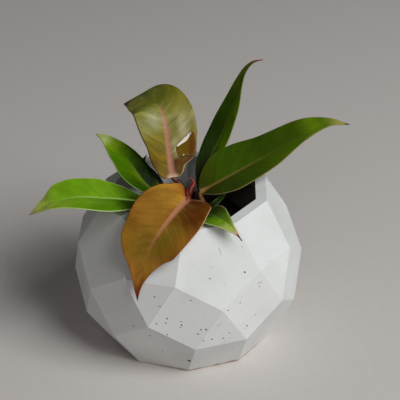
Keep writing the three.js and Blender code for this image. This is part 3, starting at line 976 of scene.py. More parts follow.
def blade_body(leaf, body):
    """Adds the blade to a body, an upper and a lower skin with a rounded margin, and gives its rib."""
    rows, rib = blade_surface(leaf)
    last = len(rows[0]) - 1
    names = ("along", "across", "rib", "edge", "vein")
    values = {name: [] for name in (*names, "under", *leaf.marks)}
    points, faces, upper, lower = [], [], [], []

    def put(spot, under=0.5, lift=Vector((0, 0, 0))):
        points.append(spot["point"] + lift)
        for name in names:
            values[name].append(spot[name])
        values["under"].append(under)
        for kind, (_, *patches) in leaf.marks.items():
            values[kind].append(max(patch_share(spot, patch) for patch in patches))
        return len(points) - 1

    for i, row in enumerate(rows[:-1]):
        above, below = [], []
        for j, spot in enumerate(row):
            a, b = rows[max(i - 1, 0)][j]["point"], rows[i + 1][j]["point"]
            c, d = row[max(j - 1, 0)]["point"], row[min(j + 1, last)]["point"]
            normal = (d - c).cross(b - a)
            normal = normal.normalized() if normal.length > 1e-9 else UP
            rim = clamp(spot["rim"] / HALF_THICKNESS)
            half = HALF_THICKNESS * math.sqrt(1 - (1 - rim) ** 2)
            if half < 1e-4 or i == 0 or j in (0, last):
                above.append(put(spot))
                below.append(above[-1])
            else:
                above.append(put(spot, 0.0, normal * half))
                below.append(put(spot, 1.0, normal * -half))
        upper.append(above)
        lower.append(below)
    tip = put(rows[-1][last // 2])
    for skin in (upper, lower):
        skin.append([tip] * (last + 1))
        for near, far in zip(skin, skin[1:]):
            for j in range(last):
                # Where rows meet in one point, as at the tip, the face has three corners
                corners = list(dict.fromkeys((near[j], near[j + 1], far[j + 1], far[j])))
                if len(corners) > 2:
                    faces.append(corners if skin is upper else corners[::-1])
    body.add(points, faces, **values)
    return rib


def midrib_radius(share):
    """Radius of the midrib below the blade, as a share of the stalk's."""
    return 0.9 * (1 - share) ** 1.6 + 0.1 * (1 - share)


def stalk_body(leaf, rib, body):
    """Adds the stalk, which runs on below the blade as its midrib."""
    path = [Vector(p) for p in leaf.stalk]
    stalk_length = sum((b - a).length for a, b in zip(path, path[1:]))
    start = stalk_length / (stalk_length + rib.length)
    for share in MIDRIB_SHARES:
        centre, _, normal = rib_frame(leaf, rib, share)
        depth = leaf.stalk_radius * midrib_radius(share) * 1.06 + 0.25 + leaf.groove * (1 - 0.8 * share)
        path.append(centre - normal * depth)

    def radius_at(share):
        if share < start:
            t = share / start
            return leaf.stalk_radius * (1 + 0.25 * (1 - t) ** 3 - 0.1 * t)
        return leaf.stalk_radius * midrib_radius((share - start) / (1 - start))

    def section(share, angle):
        return 1 + 0.035 * math.cos(5 * angle + 4 * share) + 0.02 * math.cos(9 * angle)

    points, faces, shares, _ = rod(path, radius_at, 90, 20, section)
    # The stalk's skin has its stem end at 0 and the blade at a half
    body.add(points, faces, 1, along=[clamp(share / start / 2) for share in shares])


def leaf_look(name, leaf):
    look = Look(name)
    along, across, edge = look.value("along"), look.value("across"), look.value("edge")
    from_rib, vein = look.value("rib"), look.value("vein")
    right = look.step(look.math("DIVIDE", across, look.range(along, *leaf.melt)), -1, 1)
    left = look.math("SUBTRACT", 1.0, right)
    # Streaks run with the side veins, and each half has its own
    half = look.times(look.math("GREATER_THAN", across, 0.0), 7.0)
    streak = look.noise(0.9, 4, 0.6, look.join(vein, look.times(across, 0.8), half))
    fine = look.noise(0.9, 4, 0.65)
    blotch = look.step(look.noise(9, 3), 0.38, 0.66)
    colour = look.cover(look.ramp(along, *leaf.left), look.ramp(along, *leaf.right), right)
    colour = look.cover(colour, leaf.blotch, blotch, 0.35)

    # Patches, streaks and side veins
    for kind, (mark_colour, *_) in leaf.marks.items():
        # The painted sheen, light reflected off the blade, follows the streaks' pale bands
        if kind == "sheen":
            uneven = look.range(look.step(streak, 0.62, 0.4), 0.2, 1.3)
        else:
            uneven = look.range(streak, 0.7, 1.2)
        colour = look.cover(colour, mark_colour, look.value(kind), uneven)
    colour = look.tint(colour, look.step(streak, 0.3, 0.7), 1.08, leaf.streak)
    line = look.math("SUBTRACT", look.times(look.math("FRACT", vein), 2.0), 1.0)
    line = look.step(look.math("ABSOLUTE", line), 0.55, 1.0)
    fade = look.math("SUBTRACT", 1.0, look.math("ABSOLUTE", across))
    colour = look.cover(colour, leaf.vein_colour, line, fade, blotch, leaf.vein_strength)
    colour = look.tint(colour, fine, 1 - leaf.grain, 1 + leaf.grain)

    # Midrib, base, margin, tip and flecks
    start, end = leaf.band_end
    band = look.times(look.step(from_rib, 1.7, 0.3), look.range(fine, 0.65, 1.3))
    colour = look.cover(colour, leaf.band_colour, band, look.step(along, end, start), leaf.band_strength)
    if leaf.foot:
        reach, foot_colour = leaf.foot
        colour = look.cover(
            colour, foot_colour, look.step(along, reach, 0.0), look.step(from_rib, 2.4, 1.0))
    if leaf.glow:
        width, strength, glow_colour = leaf.glow
        colour = look.cover(colour, glow_colour, look.step(edge, width, 0.0), strength)
    # Lines at the margins: pale ones are painted highlight, dark ones the margin's own colour
    for side, rim in ((right, leaf.right_rim), (left, leaf.left_rim)):
        width, strength, rim_colour, *ends = rim or leaf.rim
        shares = [look.step(edge, width, width * 0.3), strength, side]
        shares += [look.step(along, *places) for places in ends]
        colour = look.cover(colour, rim_colour, *shares)
    for start, full, tip_colour in leaf.tips:
        colour = look.cover(colour, tip_colour, look.step(along, start, full))
    colour = look.cover(colour, leaf.vein_colour, look.step(look.spots(3.3), 0.06, 0.03), 0.3)
    under = look.step(look.value("under"), 0.55, 0.95)
    colour = look.cover(colour, leaf.under_colour, under)

    gloss = look.math("ADD", look.range(streak, 0.07, -0.07), leaf.gloss, look.times(under, 0.15))
    if leaf.dull_foot:
        gloss = look.math("ADD", gloss, look.times(look.step(along, *leaf.dull_foot), 0.3))
    relief = look.math("ADD", look.times(fine, 0.25), look.times(streak, 0.75))
    return look.finish(colour, gloss, leaf.shine, relief, leaf.relief)


def make_leaf(name, slot, node, leaf):
    body = Body()
    rib = blade_body(leaf, body)
    stalk_body(leaf, rib, body)
    piece = body.make(name, leaf_look(name, leaf), stalk_look(name + "_stalk", *leaf.stalk_colours))
    dress(piece, slot, node)


ORANGE_FRONT = Leaf(
    seed=1, veins=15, groove=0.12, band=(1.75, 0.2), lobe=(2.6, 11.9), wave=(0.5, 2.5, 0, 1),
    stalk=[(1.7, -4.1, 71), (-0.3, -8, 79), (-3, -15, 86.5), (-5, -21, 88.5)],
    rib=[
        (-5, -21, 89), (-17, -36, 90), (-25, -42, 86), (-31, -44, 79), (-35, -45, 69), (-38.5, -47, 60),
        (-40, -49, 54),
    ],
    facing=[(0, -0.3, 1), (-0.2, -0.5, 1), (-0.4, -0.8, 0.8)],
    outline=[
        (0, 12.4, 13), (0.03, 13.2, 16.4), (0.08, 13.9, 19), (0.15, 14.5, 20.6), (0.22, 15.2, 20.8),
        (0.3, 15.7, 20.5), (0.45, 15, 19), (0.58, 13, 17.5), (0.68, 8, 13.5), (0.78, 4, 7.5),
        (0.88, 1.6, 3.2), (1, 0, 0),
    ],
    fold=[(6, 6), (0, 0)], curl=[(-8, -8), (-5, -5)],
    left=[
        (0, (60, 22, 3)), (0.1, (104, 56, 8)), (0.28, (94, 50, 8)), (0.45, (148, 99, 25)),
        (0.72, (166, 118, 31)), (0.95, (118, 59, 17)),
    ],
    right=[
        (0, (206, 142, 48)), (0.1, (200, 144, 48)), (0.28, (164, 115, 37)), (0.45, (168, 115, 37)),
        (0.66, (184, 134, 42)), (0.82, (178, 120, 46)), (0.95, (122, 62, 18)),
    ],
    melt=(0.06, 0.9), blotch=(122, 84, 22), under_colour=(128, 58, 40), vein_colour=(190, 146, 60),
    vein_strength=0.26, band_colour=(208, 138, 106), band_end=(0.12, 0.8), band_strength=0.9,
    stalk_colours=((84, 34, 22), (150, 70, 44), (172, 96, 66)),
    marks={
        "stain": (
            (96, 48, 12), (0.24, -0.6, 0.13, 0.4, 0.5), (0.14, 0.8, 0.1, 0.32, 0.4),
            (0.04, -0.9, 0.06, 0.5, 0.5),
        ),
        "shade": ((104, 98, 24), (0.48, -0.32, 0.25, 0.5, 0.65), (0.58, 0.25, 0.25, 0.6, 0.5)),
    },
    left_rim=(0.45, 0.8, (218, 184, 140), (0.5, 0.28)), right_rim=(0.6, 0.55, (140, 66, 34)),
    glow=(1.9, 0.45, (150, 72, 32)),
    tips=[(0.86, 0.97, (112, 50, 26)), (0.965, 0.985, (48, 26, 22))],
    streak=0.82, grain=0.24, gloss=0.44, shine=0.18,
)

OLIVE_BACK = Leaf(
    seed=2, veins=15, groove=0.2, band=(1.7, 0.9), wave=(0.5, 3, 2, 0),
    stalk=[(2.3, 6.2, 68), (1.8, 6.1, 75), (0.9, 6.6, 79), (-0.5, 8, 82.3), (-2.7, 10, 84.2)],
    rib=[
        (-4, 9, 86), (-4, 12.5, 93.5), (-4, 15, 101), (-4, 18, 110.5), (-4.3, 22, 116.7), (-5.3, 28.5, 119.4),
        (-9, 36, 119.3), (-14, 42, 117), (-19, 46.5, 114),
    ],
    facing=[(0, -1, 0.4), (0, -1, 0.45), (0, -0.9, 0.6), (-0.1, -0.5, 1), (-0.3, 0, 1), (-0.5, 0.2, 1)],
    outline=[
        (0, 4.5, 3.2), (0.02, 6.2, 5.3), (0.042, 7.3, 6.3), (0.065, 8, 6.9), (0.085, 8.6, 7.5),
        (0.105, 9.1, 9.4), (0.125, 9.6, 11.6), (0.145, 10, 13.2), (0.175, 10.6, 14.2), (0.26, 11.5, 15.3),
        (0.36, 13.8, 16), (0.48, 15.1, 16), (0.58, 15, 15.7), (0.68, 14, 15.2), (0.76, 12.5, 14),
        (0.84, 10, 11), (0.9, 7.2, 7), (0.95, 3.8, 3.5), (1, 0, 0),
    ],
    fold=[(12, 8), (12, 8), (8, 0)], curl=[(-16, -8), (-16, -8), (-30, -8)],
    # The paler colours in the middle of both halves are partly painted sheen, light reflected off the blade
    left=[
        (0, (140, 102, 28)), (0.15, (144, 114, 16)), (0.3, (142, 125, 30)), (0.45, (142, 136, 54)),
        (0.56, (164, 162, 78)), (0.7, (132, 139, 32)), (0.85, (142, 142, 42)), (1, (150, 128, 56)),
    ],
    right=[
        (0, (100, 48, 8)), (0.12, (110, 70, 8)), (0.22, (154, 138, 84)), (0.34, (152, 136, 72)),
        (0.52, (156, 147, 68)), (0.68, (116, 115, 24)), (0.85, (110, 122, 28)), (1, (116, 130, 44)),
    ],
    # Its pale side veins are partly painted sheen, streaks of reflected light along the veins
    melt=(0.05, 0.5), blotch=(122, 116, 30), under_colour=(72, 36, 22), vein_colour=(182, 176, 112),
    vein_strength=0.3, band_colour=(190, 130, 112), band_end=(0.4, 0.68),
    stalk_colours=((60, 20, 16), (84, 24, 20), (140, 80, 56)),
    marks={
        "stain": (
            (98, 42, 4), (0.075, 0.26, 0.1, 0.3, 1.1), (0.13, 0.85, 0.06, 0.3, 0.7),
            (0.13, -0.9, 0.1, 0.35, 0.6),
        ),
        "shade": (
            (76, 94, 20), (0.72, -0.2, 0.24, 1.0, 0.4), (0.44, 0.3, 0.15, 0.22, 0.5),
            (0.4, 0.85, 0.14, 0.18, 0.35),
        ),
        # Painted sheen: pale patches that stand for light reflected off the blade's middle
        "sheen": (
            (190, 188, 148), (0.5, -0.4, 0.13, 0.4, 0.6), (0.38, 0.55, 0.14, 0.3, 0.5),
            (0.24, 0.25, 0.12, 0.2, 0.5),
        ),
    },
    # The pale line on the right margin is painted sheen, light caught by the edge; the dark left one is the
    # rolled margin's underside
    left_rim=(0.85, 0.9, (62, 26, 18)), right_rim=(0.85, 0.9, (206, 184, 124), (0.16, 0.11)),
    foot=(0.045, (222, 186, 150)), dull_foot=(0.26, 0.14), tips=[(0.9, 0.97, (66, 36, 22))], streak=0.66,
    grain=0.17, relief=0.28, gloss=0.42, shine=0.22,
)

LONG_RIGHT = Leaf(
    seed=3, veins=17, band=(0.85, 0.3), stalk=[(9.6, 1.5, 67), (9, -1.2, 74), (7.3, -3.8, 81)],
    rib=[(7, -4, 82), (22, -4, 88), (42, -4, 96), (62, -4, 105), (76, -8, 111), (85, -13, 111.5)],
    facing=[(-0.2, -0.4, 1), (-0.2, -0.4, 1), (0, -0.3, 1)],
    outline=[
        (0, 2, 1.5), (0.03, 6.5, 4), (0.07, 10.2, 7), (0.13, 13.8, 9.5), (0.2, 15.8, 11.2), (0.3, 15.8, 11),
        (0.45, 13, 9.5), (0.6, 11, 6.8), (0.75, 9, 4), (0.88, 4, 2), (1, 0, 0),
    ],
    fold=[(10, 10), (5, 5)],
    left=[
        (0, (52, 58, 2)), (0.2, (57, 84, 1)), (0.5, (50, 72, 1)), (0.66, (58, 76, 2)), (0.8, (104, 134, 12)),
        (1, (132, 140, 54)),
    ],
    right=[
        (0, (42, 46, 1)), (0.3, (52, 70, 1)), (0.5, (70, 92, 3)), (0.66, (76, 102, 4)), (0.8, (106, 134, 12)),
        (1, (130, 138, 66)),
    ],
    blotch=(60, 84, 4), under_colour=(92, 118, 56), vein_colour=(88, 106, 24), band_colour=(132, 98, 46),
    band_end=(0.1, 0.62), band_strength=0.8,
    stalk_colours=((122, 84, 54), (202, 156, 106), (140, 112, 60)),
    marks={
        "stain": ((70, 72, 6), (0.12, -0.6, 0.12, 0.6, 0.5)),
        "shade": ((40, 54, 2), (0.4, 0.4, 0.25, 0.5, 0.2)),
    },
    rim=(0.35, 0.55, (176, 146, 96)), foot=(0.07, (160, 108, 62)),
    tips=[(0.86, 0.95, (164, 156, 84)), (0.965, 0.985, (84, 40, 34))],
    shine=0.12,
)

UPRIGHT_RIGHT = Leaf(
    seed=4, veins=15, band=(0.7, 0.35), stalk=[(7.2, 5.6, 66.5), (9, 7.5, 71), (10.8, 9.8, 75.5)],
    rib=[
        (11, 10, 76), (15.5, 14, 85.5), (21, 17, 92.5), (27, 20, 100.5), (31, 21.5, 108.5), (35, 22, 118),
        (37.5, 21, 127.5), (40, 18.5, 136), (43.5, 16.5, 140.5), (48, 14.5, 142),
    ],
    facing=[(-0.8, -0.6, 0.3), (-0.8, -0.6, 0.5)],
    outline=[
        (0, 2, 1), (0.1, 4.7, 4.5), (0.25, 7.5, 5.9), (0.4, 7.9, 6), (0.55, 6.4, 5), (0.68, 4.5, 3),
        (0.8, 2.5, 1.4), (0.9, 1.2, 0.7), (1, 0, 0),
    ],
    fold=[(20, 20), (10, 10)],
    # The left half's dark greens are painted shade: that half faces away from the light
    left=[
        (0, (58, 64, 4)), (0.2, (30, 48, 1)), (0.4, (27, 48, 0)), (0.6, (44, 68, 1)), (0.8, (80, 104, 10)),
        (1, (96, 80, 34)),
    ],
    right=[
        (0, (60, 76, 3)), (0.35, (86, 118, 3)), (0.6, (96, 128, 6)), (0.8, (98, 124, 16)), (1, (106, 88, 36)),
    ],
    blotch=(36, 56, 2), under_colour=(72, 92, 44), vein_colour=(60, 80, 20), band_colour=(76, 94, 16),
    band_end=(0.4, 0.95), band_strength=0.7, stalk_colours=((70, 52, 30), (70, 80, 34), (90, 104, 50)),
    rim=(0.3, 0.45, (104, 112, 52)), tips=[(0.9, 0.98, (128, 66, 40))], shine=0.1,
)

UPPER_LEFT = Leaf(
    seed=5, veins=13, band=(0.9, 0.4), stalk=[(-1.1, 3.3, 68), (-6, 3.6, 72.5), (-11.5, 4, 77)],
    rib=[(-12, 4, 78), (-19, 11, 85), (-24.5, 22, 94), (-32, 34, 101.5), (-36.5, 39, 103)],
    facing=[(0.3, -0.3, 1), (0.3, -0.4, 1)],
    outline=[
        (0, 2, 2), (0.1, 7.5, 5), (0.25, 13, 7.5), (0.4, 14.3, 7.9), (0.55, 12.5, 6.9), (0.7, 9, 5.7),
        (0.85, 4.8, 3.2), (1, 0, 0),
    ],
    fold=[(20, 20), (10, 10)],
    left=[
        (0, (48, 72, 1)), (0.2, (42, 76, 1)), (0.4, (74, 110, 1)), (0.6, (78, 120, 2)),
        (0.75, (116, 150, 22)), (0.88, (188, 204, 112)), (1, (196, 212, 126)),
    ],
    # The right half's dark greens are painted shade: that half faces away from the light
    right=[
        (0, (20, 28, 0)), (0.35, (18, 36, 0)), (0.5, (44, 68, 1)), (0.65, (80, 112, 3)),
        (0.78, (124, 158, 26)), (0.9, (170, 184, 112)), (1, (166, 180, 120)),
    ],
    blotch=(56, 92, 3), under_colour=(110, 146, 66), vein_colour=(110, 140, 30), band_colour=(110, 132, 30),
    band_end=(0.3, 0.8), band_strength=0.6, stalk_colours=((86, 60, 34), (96, 120, 40), (120, 150, 70)),
    # A pale patch by the midrib is a painted highlight, and a dark patch on the right half is painted shade
    marks={
        "stain": ((120, 138, 24), (0.3, -0.1, 0.2, 0.3, 0.5)),
        "shade": ((20, 32, 1), (0.3, 0.5, 0.2, 0.6, 0.3)),
    },
    rim=(0.4, 0.55, (158, 190, 90)),
    tips=[(0.84, 0.95, (174, 184, 96)), (0.975, 0.99, (110, 90, 60))],
    shine=0.08,
)

LOWER_LEFT = Leaf(
    seed=6, veins=15, band=(0.9, 0.4), stalk=[(-1.4, -0.4, 67), (-9, -1.6, 72.5), (-19.5, -3, 79)],
    rib=[
        (-20, -3, 80), (-32, -6, 86), (-45, -9, 91), (-58, -10, 94.5), (-70, -8, 93), (-76, -5, 89),
        (-81.5, -2, 85),
    ],
    facing=[(0.2, -0.2, 1), (0, -0.3, 1), (-0.3, -0.2, 1)],
    outline=[
        (0, 3, 2), (0.12, 8, 6), (0.25, 10.5, 9.5), (0.4, 12.5, 11.8), (0.55, 11, 12), (0.68, 7.5, 11.8),
        (0.78, 5, 10.5), (0.88, 2.7, 6), (1, 0, 0),
    ],
    fold=[(15, 15), (5, 5)],
    left=[
        (0, (40, 56, 1)), (0.25, (46, 70, 2)), (0.4, (92, 138, 8)), (0.6, (114, 160, 20)),
        (0.75, (142, 180, 36)), (0.88, (206, 220, 100)), (1, (206, 204, 105)),
    ],
    right=[
        (0, (38, 54, 1)), (0.18, (50, 78, 1)), (0.35, (116, 158, 22)), (0.65, (113, 162, 16)),
        (0.77, (142, 190, 32)), (0.88, (216, 238, 96)), (1, (220, 232, 120)),
    ],
    blotch=(84, 128, 8), under_colour=(120, 156, 76), vein_colour=(124, 160, 50), band_colour=(150, 182, 88),
    band_end=(0.5, 0.95), band_strength=0.8, stalk_colours=((86, 60, 34), (90, 120, 40), (126, 156, 76)),
    marks={
        "stain": ((128, 160, 56), (0.5, -0.35, 0.22, 0.3, 0.35)),
        "shade": ((34, 52, 1), (0.08, 0, 0.18, 1.2, 0.5)),
    },
    rim=(0.5, 0.75, (206, 218, 150)),
    tips=[(0.92, 0.98, (206, 176, 120)), (0.975, 0.995, (186, 130, 100))],
    gloss=0.42, shine=0.15,
)

SMALL_FRONT = Leaf(
    seed=7, veins=10, band=(0.7, 0.3), stalk=[(4.8, -4, 67), (4, -10, 72.5), (1, -19, 78)],
    rib=[
        (1, -20, 79), (3.5, -29, 83), (5.5, -37, 85.5), (8, -43.5, 85.7), (10.5, -49, 83.3), (13, -52.5, 79),
    ],
    facing=[(0, -0.2, 1), (0.1, -0.5, 1)],
    outline=[
        (0, 2, 3), (0.2, 8.5, 8.5), (0.4, 7.5, 9.3), (0.6, 4.4, 7.5), (0.77, 1.8, 4.4), (0.86, 0.9, 1.9),
        (0.92, 0.4, 0.6), (1, 0, 0),
    ],
    fold=[(10, -2), (10, 8)],
    # Both halves are darkest near the base: painted shade over the part that lies in shadow
    left=[
        (0, (22, 28, 1)), (0.25, (33, 48, 2)), (0.45, (64, 94, 3)), (0.65, (98, 130, 18)),
        (0.78, (158, 168, 60)), (1, (170, 152, 88)),
    ],
    right=[
        (0, (22, 28, 1)), (0.35, (27, 52, 3)), (0.5, (88, 132, 10)), (0.64, (120, 162, 26)),
        (0.76, (186, 200, 98)), (1, (190, 176, 126)),
    ],
    blotch=(64, 94, 8), under_colour=(130, 156, 90), vein_colour=(130, 150, 56), band_colour=(140, 160, 72),
    band_end=(0.3, 0.8), band_strength=0.5, stalk_colours=((86, 60, 34), (90, 110, 40), (130, 150, 80)),
    # A dark patch near the base, painted shade
    marks={"shade": ((30, 44, 10), (0.15, 0.1, 0.25, 1.2, 0.6))},
    rim=(0.4, 0.7, (192, 200, 136)), glow=(1.2, 0.4, (196, 204, 140)),
    tips=[(0.8, 0.88, (196, 158, 110)), (0.87, 0.92, (104, 40, 54))],
    shine=0.12,
)

SLIM_FRONT = Leaf(
    seed=8, veins=7, groove=0.15, stalk_radius=1.0, band=(0.4, 0.2),
    stalk=[(8.4, -2.2, 67), (8.8, -5, 71), (8.6, -7.6, 74)],
    rib=[(8.5, -8, 74.5), (11.5, -11, 77.5), (15, -9.5, 79), (20, -6, 80)],
    facing=[(-0.3, -1, 0.3), (-0.3, -1, 0.3)],
    outline=[(0, 1, 1), (0.3, 1.7, 1.5), (0.6, 1.4, 1.3), (0.85, 0.8, 0.8), (1, 0, 0)],
    # Its very dark greens are painted shade: the leaf lies deep in the shade of the other leaves
    fold=[(25, 25), (25, 25)], left=[(0, (14, 26, 4)), (1, (30, 52, 10))],
    right=[(0, (12, 24, 4)), (1, (26, 46, 8))], blotch=(20, 38, 6), under_colour=(30, 48, 14),
    vein_colour=(36, 60, 14), vein_strength=0.08, band_colour=(44, 70, 16), band_end=(0.4, 0.9),
    stalk_colours=((60, 44, 26), (40, 60, 20), (50, 70, 26)), rim=(0.3, 0.6, (104, 116, 56)),
    tips=[(0.9, 0.98, (140, 140, 90))], streak=0.94, gloss=0.5, shine=0.1,
)

SLIM_BACK = Leaf(
    seed=9, veins=8, groove=0.15, stalk_radius=1.0, band=(0.4, 0.2),
    stalk=[(-0.2, 5.5, 66), (-3, 10, 71), (-6.5, 15.5, 76)],
    rib=[(-7, 16, 77), (-11, 24, 81.5), (-13.5, 30, 84.5), (-13, 33, 86.5), (-11, 33.5, 88.7)],
    facing=[(0, -0.5, 1), (0, -1, 0.5)],
    outline=[(0, 1, 1), (0.3, 2.4, 2.4), (0.6, 2, 2), (0.85, 1, 1), (1, 0, 0)],
    fold=[(20, 20), (20, 20)], left=[(0, (44, 46, 20)), (1, (60, 44, 30))],
    right=[(0, (44, 46, 20)), (1, (60, 44, 30))], blotch=(50, 50, 24), under_colour=(60, 50, 30),
    vein_colour=(70, 74, 34), vein_strength=0.08, band_colour=(80, 70, 40), band_end=(0.4, 0.9),
    stalk_colours=((60, 44, 26), (56, 46, 24), (60, 50, 30)), rim=(0.3, 0.5, (90, 60, 40)),
    tips=[(0.8, 0.95, (56, 36, 30))], streak=0.94, gloss=0.5,
)

# Name, material slot, CAD node and shape of each leaf
LEAVES = [
    ("orange_leaf", "leaf_orange", "leaf_orange_front", ORANGE_FRONT),
    ("olive_leaf", "leaf_olive", "leaf_olive_back", OLIVE_BACK),
    ("long_green_leaf", "leaf_dark_green", "leaf_long_right", LONG_RIGHT),
    ("upright_green_leaf", "leaf_deep_green", "leaf_upright_right", UPRIGHT_RIGHT),
    ("upper_left_leaf", "leaf_green", "leaf_upper_left", UPPER_LEFT),
    ("lower_left_leaf", "leaf_bright_green", "leaf_lower_left", LOWER_LEFT),
    ("small_front_leaf", "leaf_mid_green", "leaf_small_front", SMALL_FRONT),
    ("slim_front_leaf", "leaf_dark_green", "leaf_slim_front", SLIM_FRONT),
    ("slim_back_leaf", "leaf_dark_olive", "leaf_slim_back", SLIM_BACK),
]


# The film of water on the olive leaf

# Its outline, middle and upper side as shares of the rib's length and of the leaf's half width
FILM_EDGE = [
    (0.358, 0.81), (0.33, 0.9), (0.26, 0.97), (0.19, 0.96), (0.152, 0.89), (0.145, 0.78), (0.152, 0.66),
    (0.145, 0.5), (0.165, 0.33), (0.2, 0.27), (0.24, 0.27), (0.3, 0.525),
]
FILM_MIDDLE = (0.23, 0.64)
FILM_TOP_SIDE = ((0.246, 0.26), (0.358, 0.79))
# How steeply it rises from the two ends of its upper side, and how deep it gets
FILM_SLOPES = (0.33, 0.46)
FILM_DEPTH = 0.85
FILM_SOFTNESS = 0.08
# A short thick ridge: its ends, height, half width and half length
FILM_RIDGE = ((0.158, 0.5), (0.178, 0.63))
RIDGE_HEIGHT = 0.31
RIDGE_WIDTH = 0.7
RIDGE_LENGTH = 1.4
FILM_SIDES = 120
FILM_RINGS = 36
# The leaf's half width under it, and the corners and steps of a smooth patch of the leaf there
HALF_WIDTH_THERE = 15.0
PATCH_CORNERS = ((0.1, 0.16), (0.4, 1.0))
PATCH_STEPS = 5


def on_blade(rows, s, v):
    """The place on a blade's middle surface at a share of its length and of its half width."""
    i = 0
    while i < len(rows) - 2 and rows[i + 1][0]["along"] < s:
        i += 1
    j = 0
    while j < len(rows[i]) - 2 and rows[i][j + 1]["across"] < v:
        j += 1
    a, b = rows[i][j], rows[i + 1][j + 1]
    x = (s - a["along"]) / (b["along"] - a["along"])
    y = (v - a["across"]) / (b["across"] - a["across"])
    near = a["point"].lerp(rows[i][j + 1]["point"], y)
    far = rows[i + 1][j]["point"].lerp(b["point"], y)
    return near.lerp(far, x)


def smooth_patch(rows, low, high):
    """A blade's middle surface over a small region, as a function without its mesh's small steps."""
    shares = [k / PATCH_STEPS for k in range(PATCH_STEPS + 1)]
    columns = [mix(low[1], high[1], share) for share in shares]
    curves = [[on_blade(rows, mix(low[0], high[0], share), v) for v in columns] for share in shares]

    def along_knots(knots, share):
        place = PATCH_STEPS * share
        k = min(max(int(place), 1), PATCH_STEPS - 2)
        a, b, c, d = knots[k - 1:k + 3]
        return hermite(b, c, (c - a) / 2, (d - b) / 2, place - k)

    def at(s, v):
        across = (v - low[1]) / (high[1] - low[1])
        forth = (s - low[0]) / (high[0] - low[0])
        return along_knots([along_knots(curve, across) for curve in curves], forth)
    return at


def film_height(spot, line, scale):
    """Height of the water over the skin, from the flat map of the leaf in millimetres."""
    first, second = (Vector(end) * scale for end in FILM_TOP_SIDE)
    way = (second - first).normalized()
    share = clamp(way.dot(spot - first) / (second - first).length)
    climb = max(way.cross(spot - first), 0) * mix(*FILM_SLOPES, share)
    deep = FILM_DEPTH * mix(0.45, 1, smooth(share, 0, 0.6)) * mix(1, 0.25, smooth(share, 0.65, 1))
    # The lower of climb and deep, with a soft bend where they meet
    rise = -FILM_SOFTNESS * math.log(math.exp(-climb / FILM_SOFTNESS) + math.exp(-deep / FILM_SOFTNESS))
    rise += 0.014 * noise.noise(Vector((spot.x / 3, spot.y / 3, 4.2))) * clamp(climb / 0.3)
    near = min((spot - edge).length for edge in line if way.cross(edge - first) > 0.6)
    rise = (0.1 + max(rise, 0)) * (1 - math.exp(-near / mix(0.4, 1.1, smooth(share, 0.7, 1))))
    first, second = (Vector(end) * scale for end in FILM_RIDGE)
    way = (second - first).normalized()
    off = spot - (first + second) / 2
    off_ridge = (way.cross(off) / RIDGE_WIDTH) ** 2 + (way.dot(off) / RIDGE_LENGTH) ** 2
    return rise + RIDGE_HEIGHT * math.exp(-off_ridge)


def make_film():
    """Water that stands on the olive leaf: a closed cap with a sloping upper side."""
    rows, rib = blade_surface(OLIVE_BACK)
    scale = Vector((rib.length, HALF_WIDTH_THERE))
    blade = smooth_patch(rows, *PATCH_CORNERS)
    centre = Vector(FILM_MIDDLE) * scale
    curve = Curve([(s * scale.x, v * scale.y, 0) for s, v in FILM_EDGE + FILM_EDGE[:1]])
    line = [curve.at_share(j / FILM_SIDES).xy for j in range(FILM_SIDES)]
    points, edges, across = [], [], []
    for under in (False, True):
        for i in range(FILM_RINGS + 1):
            out = 1 - (i / FILM_RINGS) ** 1.3
            for j in range(FILM_SIDES):
                spot = centre.lerp(line[j], out)
                s, v = spot.x / scale.x, spot.y / scale.y
                forth = blade(s + 0.012, v) - blade(s - 0.012, v)
                side = blade(s, v + 0.02) - blade(s, v - 0.02)
                normal = side.cross(forth).normalized()
                lift = 0.05 if under else HALF_THICKNESS - 0.03 + film_height(spot, line, scale)
                points.append(blade(s, v) + normal * lift)
                edges.append((line[j] - spot).length)
                across.append(v)
    lower = (FILM_RINGS + 1) * FILM_SIDES
    faces = ring_faces(FILM_RINGS, FILM_SIDES) + flipped(ring_faces(FILM_RINGS, FILM_SIDES, lower))
    for j in range(FILM_SIDES):
        k = (j + 1) % FILM_SIDES
        faces.append([j, k, lower + k, lower + j])
    body = Body()
    body.add(points, faces, edge=edges, across=across)
    piece = body.make("wet_film", film_look())
    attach(piece, "root")


def film_look():
    look = Look("wet_film")
    cloud = look.noise(2.5, 3)
    colour = look.ramp(
        look.value("across"),
        (0.3, (124, 94, 12)), (0.62, (116, 88, 12)), (0.8, (106, 62, 10)), (0.98, (120, 80, 36)),
    )
    colour = look.tint(colour, cloud, 0.8, 1.2)
    # Darker at the outline: painted shade where the water's edge bends the light away
    colour = look.cover(colour, (70, 46, 8), look.step(look.value("edge"), 0.5, 0.0), 0.5)
    look.fill(look.shader, {"IOR": 1.8, "Coat Weight": 1.0, "Coat Roughness": 0.05})
    return look.finish(colour, look.range(cloud, 0.05, 0.09))


# Stem and furled new leaf

STEM_BOTTOM = STEM_TOP - 21
# Paths and thickness of the dry sheaths beside the stem
SHEATHS = [
    ([(5.2, -0.6, 73), (5.7, -1.1, 77), (6.4, -1.3, 81.8)], 1.15),
    ([(1.6, -1.8, 73), (1.2, -2.4, 76.5), (0.9, -2.2, 79.5)], 0.9),
]
NEW_LEAF = [(2.2, 0.4, STEM_TOP + 0.8), (1.9, 0.3, 79.3), (3.4, 1.3, 82), (5.3, 2.5, 84.5), (3.5, 4.2, 87.8)]
# Radii of the new leaf, evenly spread from its foot to its tip
NEW_LEAF_RADII = (1.4, 1.9, 1.5, 0.85, 0.25)


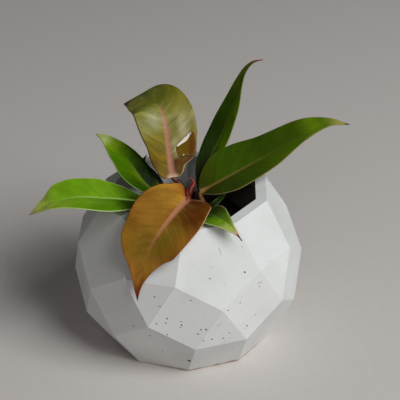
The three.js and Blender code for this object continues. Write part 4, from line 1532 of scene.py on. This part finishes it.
def make_stem():
    def radius_at(share):
        ring = 0.35 * math.exp(-(((share * 5) % 1 - 0.5) / 0.18) ** 2)
        cap = math.sqrt(clamp((1 - share) / 0.06))
        return (STEM_RADIUS - 0.35 + ring) * cap

    def section(share, angle):
        return 1 + 0.05 * noise.noise(Vector((math.cos(angle) * 2, math.sin(angle) * 2, share * 9)))

    body = Body()
    line = [(STEM_X, STEM_Y, z) for z in (STEM_BOTTOM, (STEM_BOTTOM + STEM_TOP) / 2, STEM_TOP)]
    points, faces, shares, _ = rod(line, radius_at, 80, 40, section)
    body.add(points, faces, 0, along=shares)
    for path, size in SHEATHS:
        points, faces, shares, _ = rod(path, lambda share: size * (1 - share ** 3) + 0.12, 40, 20)
        body.add(points, faces, 1, along=[share / 2 for share in shares])
    stops = [(0.3, (58, 40, 24)), (0.75, (104, 74, 44)), (1, (126, 104, 58))]
    bark = grained_look("stem_skin", "along", stops, (1.2, 5, 0.7), (52, 32, 20), 0.6, (0.45, 0.7), 0.25)
    sheath = stalk_look("dry_sheath", (62, 24, 14), (92, 40, 24), (124, 70, 44))
    dress(body.make("stem_bark", bark, sheath), "stem_skin", "stem")


def lip_share(share, turn):
    """How far round from the lip a place on the rolled leaf lies; the lip winds up the leaf."""
    return (turn + 0.9 * share + 0.15) % 1


def make_new_leaf():
    """A leaf still rolled up: a spindle whose outer turn ends in a raised slanting lip."""
    size = Curve([(k, radius, 0) for k, radius in enumerate(NEW_LEAF_RADII)])

    def radius_at(share):
        return size.at(share).y * math.sqrt(clamp((1 - share) / 0.03))

    def section(share, angle):
        turn = lip_share(share, angle / FULL_TURN)
        return 0.86 + 0.22 * turn ** 2 * smooth(1 - turn, 0, 0.06)

    body = Body()
    points, faces, shares, turns = rod(NEW_LEAF, radius_at, 110, 48, section)
    body.add(points, faces, along=shares, across=[lip_share(*place) for place in zip(shares, turns)])
    dress(body.make("furled_leaf", new_leaf_look()), "new_leaf_red", "new_leaf")


def new_leaf_look():
    look = Look("furled_leaf_red")
    streak = look.noise(0.9, 4, 0.6)
    colour = look.ramp(
        look.value("along"),
        (0, (70, 18, 10)), (0.35, (112, 28, 16)), (0.7, (150, 42, 28)), (1, (128, 52, 42)),
    )
    colour = look.cover(colour, (176, 66, 46), look.step(look.value("across"), 0.8, 0.97))
    colour = look.cover(colour, (70, 16, 12), look.range(streak, 0, 0.5))
    return look.finish(colour, look.range(streak, 0.36, 0.5), 0.35, streak, 0.06)


make_camera()
make_studio()
make_floor()
make_pot()
make_soil()
make_stem()
for leaf in LEAVES:
    make_leaf(*leaf)
make_film()
make_new_leaf()
